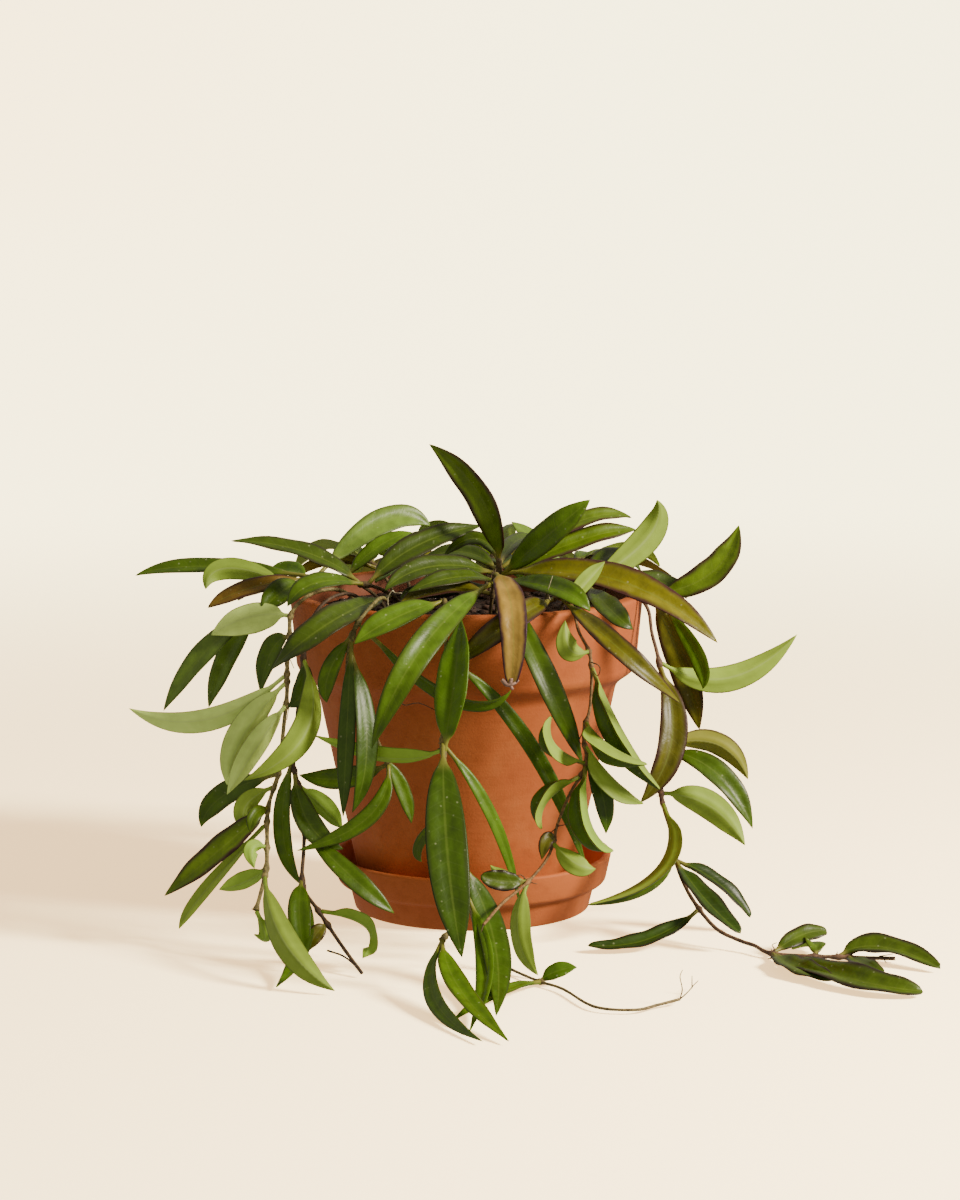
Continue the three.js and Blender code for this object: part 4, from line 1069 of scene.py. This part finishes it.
midrib = add_node(tree, "ShaderNodeMapRange", {"Value": across, "From Min": 0.02,
                                               "From Max": 0.1, "To Min": 0.22, "To Max": 0},
                  interpolation_type="SMOOTHSTEP")
ribbed = add_node(tree, "ShaderNodeMix", {MIX_SHARE: midrib.outputs[0],
                                          MIX_FIRST: veined.outputs[MIX_RESULT],
                                          MIX_SECOND: linear(MIDRIB_COLOUR)}, data_type="RGBA")
fleck_cells = add_node(tree, "ShaderNodeTexVoronoi",
                       {"Vector": place, "Scale": scale_for(FLECK_SPACING)})
fleck = add_node(tree, "ShaderNodeMapRange", {"Value": fleck_cells.outputs["Distance"],
                                              "From Min": 0.05, "From Max": 0.13,
                                              "To Min": 0.24, "To Max": 0})
flecked = add_node(tree, "ShaderNodeMix", {MIX_SHARE: fleck.outputs[0],
                                           MIX_FIRST: ribbed.outputs[MIX_RESULT],
                                           MIX_SECOND: linear(FLECK_COLOUR)}, data_type="RGBA")
print("flecks lie", FLECK_SPACING, "mm apart")

# %% [markdown]
# Sun darkens the margin of a hoya leaf to red-brown. The band is ragged, because the mottling
# pushes its inner edge about, and the stronger a look's margin is, the farther in it starts.
# The stalk fades to a yellow-brown of its own.

# %% Upper side: dark margin and stalk
MARGIN_START, MARGIN_REACH, MARGIN_FULL = 1.22, -0.42, 1.2
RAGGEDNESS = 0.5
STALK_COLOUR = "#827e34"

rim_colour = add_node(tree, "ShaderNodeAttribute", attribute_name="margin").outputs["Color"]
ragged = add_node(tree, "ShaderNodeMath", {0: cloud.outputs[0], 1: RAGGEDNESS, 2: across},
                  operation="MULTIPLY_ADD")
rim_start = add_node(tree, "ShaderNodeMath", {0: leaf_green.outputs["Alpha"], 1: MARGIN_REACH,
                                              2: MARGIN_START}, operation="MULTIPLY_ADD")
rim_band = add_node(tree, "ShaderNodeMapRange", {"Value": ragged.outputs[0],
                                                 "From Min": rim_start.outputs[0],
                                                 "From Max": MARGIN_FULL},
                    interpolation_type="SMOOTHSTEP")
rim_share = add_node(tree, "ShaderNodeMath", {0: rim_band.outputs[0],
                                              1: leaf_green.outputs["Alpha"]},
                     operation="MULTIPLY")
rimmed = add_node(tree, "ShaderNodeMix", {MIX_SHARE: rim_share.outputs[0],
                                          MIX_FIRST: flecked.outputs[MIX_RESULT],
                                          MIX_SECOND: rim_colour}, data_type="RGBA")
stalk = add_node(tree, "ShaderNodeMapRange", {"Value": parts.outputs[1], "From Min": 0.07,
                                              "From Max": 0.16, "To Min": 0.85, "To Max": 0},
                 interpolation_type="SMOOTHSTEP")
stalked = add_node(tree, "ShaderNodeMix", {MIX_SHARE: stalk.outputs[0],
                                           MIX_FIRST: rimmed.outputs[MIX_RESULT],
                                           MIX_SECOND: linear(STALK_COLOUR)}, data_type="RGBA")
tree.links.new(stalked.outputs[MIX_RESULT], shader.inputs["Base Color"])
print("margin reaches in by up to", -MARGIN_REACH, "of the half width")

# %% [markdown]
# The wax gives a soft, broad highlight that breaks up over small ripples, so the finish is satin,
# with a thin clear coat over it. Ripples, pores and sunken veins go into one bump.

# %% Upper side: wax
PORE_SIZE = 1.2
VEIN_RELIEF, RIPPLE_RELIEF = -0.25, 5

pores = add_node(tree, "ShaderNodeTexNoise",
                 {"Vector": place, "Scale": scale_for(PORE_SIZE), "Detail": 2})
relief = add_node(tree, "ShaderNodeMath", {0: vein.outputs[0], 1: VEIN_RELIEF,
                                           2: pores.outputs[0]}, operation="MULTIPLY_ADD")
rippled = add_node(tree, "ShaderNodeMath", {0: cloud.outputs[0], 1: RIPPLE_RELIEF,
                                            2: relief.outputs[0]}, operation="MULTIPLY_ADD")
leaf_bump = add_node(tree, "ShaderNodeBump", {"Height": rippled.outputs[0], "Strength": 0.4,
                                              "Distance": 0.18 * MM})
tree.links.new(leaf_bump.outputs[0], shader.inputs["Normal"])
wax = add_node(tree, "ShaderNodeMapRange", {"Value": cloud.outputs[0], "To Min": 0.3,
                                            "To Max": 0.5})
tree.links.new(wax.outputs[0], shader.inputs["Roughness"])
shader.inputs["Coat Weight"].default_value = 0.08
shader.inputs["Coat Roughness"].default_value = 0.3
shader.inputs["Specular IOR Level"].default_value = 0.24
print("upper side has", len(tree.nodes), "nodes")

# %% [markdown]
# The underside is paler and more matt, because it has less wax. The midrib stands out as a keel,
# which the skin has, and a paler line marks it. The veins don't show, and the dark rim is narrow.

# %% Underside of a leaf
KEEL_COLOUR = "#c3cf98"
CLOUD_SIZE = 6
BACK_MARGIN_REACH, BACK_MARGIN_FULL = -0.22, 0.99

leaf_back, tree, shader = new_material("matte_leaf_underside")
place = add_node(tree, "ShaderNodeTexCoord").outputs["Object"]
blade = add_node(tree, "ShaderNodeAttribute", attribute_name="blade").outputs["Vector"]
pale_green = add_node(tree, "ShaderNodeAttribute", attribute_name="under").outputs["Color"]
rim_colour = add_node(tree, "ShaderNodeAttribute", attribute_name="margin").outputs["Color"]
rim_strength = add_node(tree, "ShaderNodeAttribute", attribute_name="upper").outputs["Alpha"]
parts = add_node(tree, "ShaderNodeSeparateXYZ", {0: blade})
across = add_node(tree, "ShaderNodeMath", {0: parts.outputs[0]}, operation="ABSOLUTE").outputs[0]
cloud = add_node(tree, "ShaderNodeTexNoise",
                 {"Vector": place, "Scale": scale_for(CLOUD_SIZE), "Detail": 5})
cloud_gain = add_node(tree, "ShaderNodeMapRange", {"Value": cloud.outputs[0], "From Min": 0.3,
                                                   "From Max": 0.7, "To Min": 0.9, "To Max": 1.1})
mottled = add_node(tree, "ShaderNodeVectorMath", {0: pale_green, "Scale": cloud_gain.outputs[0]},
                   operation="SCALE")
keel = add_node(tree, "ShaderNodeMapRange", {"Value": across, "From Min": 0.03,
                                             "From Max": 0.12, "To Min": 0.15, "To Max": 0},
                interpolation_type="SMOOTHSTEP")
keeled = add_node(tree, "ShaderNodeMix", {MIX_SHARE: keel.outputs[0],
                                          MIX_FIRST: mottled.outputs[0],
                                          MIX_SECOND: linear(KEEL_COLOUR)}, data_type="RGBA")
rim_start = add_node(tree, "ShaderNodeMath", {0: rim_strength, 1: BACK_MARGIN_REACH, 2: 1},
                     operation="MULTIPLY_ADD")
rim_band = add_node(tree, "ShaderNodeMapRange", {"Value": across,
                                                 "From Min": rim_start.outputs[0],
                                                 "From Max": BACK_MARGIN_FULL},
                    interpolation_type="SMOOTHSTEP")
rim_share = add_node(tree, "ShaderNodeMath", {0: rim_band.outputs[0], 1: rim_strength},
                     operation="MULTIPLY")
rimmed = add_node(tree, "ShaderNodeMix", {MIX_SHARE: rim_share.outputs[0],
                                          MIX_FIRST: keeled.outputs[MIX_RESULT],
                                          MIX_SECOND: rim_colour}, data_type="RGBA")
tree.links.new(rimmed.outputs[MIX_RESULT], shader.inputs["Base Color"])
back_bump = add_node(tree, "ShaderNodeBump", {"Height": cloud.outputs[0], "Strength": 0.3,
                                              "Distance": 0.2 * MM})
tree.links.new(back_bump.outputs[0], shader.inputs["Normal"])
shader.inputs["Roughness"].default_value = 0.55
shader.inputs["Specular IOR Level"].default_value = 0.25
print("underside has", len(tree.nodes), "nodes")

# %% [markdown]
# Stems are green when young and turn to thin dull bark, grey-brown or straw. Fine dark cracks
# break its colour and catch the light, so one noise drives both the colour and the bump. Each
# shoot brings its own bark colour on its points.

# %% Stem bark
CRACK_SIZE, CRACK_DARKNESS = 1.5, 0.4

bark, tree, shader = new_material("thin_brown_bark")
place = add_node(tree, "ShaderNodeTexCoord").outputs["Object"]
bark_colour = add_node(tree, "ShaderNodeAttribute", attribute_name="bark").outputs["Color"]
cracks = add_node(tree, "ShaderNodeTexNoise",
                  {"Vector": place, "Scale": scale_for(CRACK_SIZE), "Detail": 4})
crack_share = add_node(tree, "ShaderNodeMapRange", {"Value": cracks.outputs[0], "From Min": 0.42,
                                                    "From Max": 0.68})
dark_bark = add_node(tree, "ShaderNodeVectorMath", {0: bark_colour, "Scale": CRACK_DARKNESS},
                     operation="SCALE")
bark_mixed = add_node(tree, "ShaderNodeMix", {MIX_SHARE: crack_share.outputs[0],
                                              MIX_FIRST: dark_bark.outputs[0],
                                              MIX_SECOND: bark_colour}, data_type="RGBA")
tree.links.new(bark_mixed.outputs[MIX_RESULT], shader.inputs["Base Color"])
bark_bump = add_node(tree, "ShaderNodeBump", {"Height": cracks.outputs[0], "Strength": 0.6,
                                              "Distance": 0.3 * MM})
tree.links.new(bark_bump.outputs[0], shader.inputs["Normal"])
shader.inputs["Roughness"].default_value = 0.72
print("bark cracks are", CRACK_SIZE, "mm wide")

# %% [markdown]
# Now the plant itself. Each stem gives two pieces, its leaves and its bark, and together they
# stand for the plain solid of that stem.

# %% Grow the plant
# Radius and bark colour of each shoot, where they differ from the usual
USUAL_STEM = (0.8, "#6f5c36")
STEM_LOOKS = {
    "left_trailing_stem": [(0.88, "#a49458")],
    "left_inner_stem": [(0.8, "#644a30"), (0.42, "#3c2a1c")],
    "left_front_stem": [(0.8, "#8a8044")],
    "front_trailing_stem": [(0.8, "#8a7a40"), (0.6, "#a08a58")],
    "right_front_stem": [(0.66, "#9a7444")],
    "right_trailing_stem": [(0.85, "#86644a")],
    "back_right_trailing_stem": [(0.8, "#644a30"), (0.42, "#3c2a1c")],
}

triangles = 0
for stem, shoots in plant.items():
    leaves_form = bmesh.new()
    layers = {"blade": leaves_form.verts.layers.float_vector.new("blade")}
    for layer in ("upper", "under", "margin"):
        layers[layer] = leaves_form.verts.layers.float_color.new(layer)
    bark_form = bmesh.new()
    bark_layer = bark_form.verts.layers.float_color.new("bark")
    shoot_looks = STEM_LOOKS.get(stem, [USUAL_STEM])
    for (route, leaves), (radius, colour) in zip(shoots, shoot_looks):
        add_stem(bark_form, bark_layer, colour, route, [leaf[0] for leaf in leaves], radius)
        for joint, middle, tip, width, faces, *rest in leaves:
            base = route_point(route, joint)[0]
            add_leaf(leaves_form, layers, base, Vector(middle), Vector(tip), width,
                     Vector(faces).normalized(), *rest)
    triangles += 2 * (len(leaves_form.faces) + len(bark_form.faces))
    finish_mesh(stem + "_leaves", leaves_form, [leaf_top, leaf_back], [stem])
    finish_mesh(stem + "_bark", bark_form, [bark, bark], [stem])
print("plant has about", triangles, "triangles")

# %% [markdown]
# Fine air roots, curled and dry, stand off the stems and the rim in a few places. Each is a
# thin tapered tube through two to five points. The bronze leaf's tip has dried into a curl of
# the same kind, only thicker.

# %% Fine air roots
ROOT_RADIUS, DRY_TIP_RADIUS = 0.3, 1.1
FRESH_ROOT_COLOUR, DRY_ROOT_COLOUR, DRY_TIP_COLOUR = "#d8cca4", "#6c5434", "#b8907c"
fresh_roots = [
    [(-36, -74, 148), (-36, -76, 153), (-34, -78, 156), (-33, -77, 155), (-30, -78, 155)],
    [(34, -64, 150), (33, -66, 154), (34, -68, 158), (35, -68, 161)],
]
dry_roots = [
    [(-33, -70, 108), (-29, -72, 105), (-23, -72, 106), (-15, -70, 102)],
    [(85, -183, 3), (86, -182, 7), (85, -182, 12), (86, -182, 15)],
    [(85, -183, 3), (89, -171, 3), (92, -163, 4), (94, -157, 4)],
    [(91, -165, 3), (91, -164, 8)],
    [(176, -112, 2), (177, -113, 0.5)],
    [(174, -111, 3), (180, -111, 4)],
    [(129, -104, 1), (130, -104, 4), (129, -103, 6), (131, -103, 7)],
    [(129, -104, 1), (127, -106, 0.5)],
    [(51, -91, 127), (54, -92, 126), (55, -92, 124), (54, -91, 121), (52, -90, 123)],
    [(48, -91, 97), (46, -92, 93), (48, -92, 91)],
    [(36, -99, 56), (33, -101, 54)],
    [(37, -98, 57), (41, -99, 58)],
    [(24, -113, 36), (21, -113, 39), (18, -114, 38)],
    [(24, -113, 36), (28, -113, 35)],
    [(-81, -52, 116), (-82, -50, 120), (-80, -52, 122), (-78, -53, 118)],
    [(-78, -54, 109), (-80, -56, 102), (-81, -58, 96)],
    [(5, -162, 29), (4, -163, 26)],
]
dry_tip = [
    [(13, -101, 121), (15, -102, 119), (18, -102, 119.5), (20, -101, 121)],
    [(17, -101, 121.5), (16.5, -102, 119), (17.5, -102, 117)],
]
roots_form = bmesh.new()
root_layer = roots_form.verts.layers.float_color.new("bark")
for colour, radius, courses in ((FRESH_ROOT_COLOUR, ROOT_RADIUS, fresh_roots),
                                (DRY_ROOT_COLOUR, ROOT_RADIUS, dry_roots),
                                (DRY_TIP_COLOUR, DRY_TIP_RADIUS, dry_tip)):
    for points in courses:
        add_root(roots_form, root_layer, colour, points, radius)
finish_mesh("air_roots", roots_form, [bark, bark], [])
print(len(fresh_roots) + len(dry_roots), "air roots")

# %% [markdown]
# The plant is dressed.

# %% Finish
print("the plant is dressed")
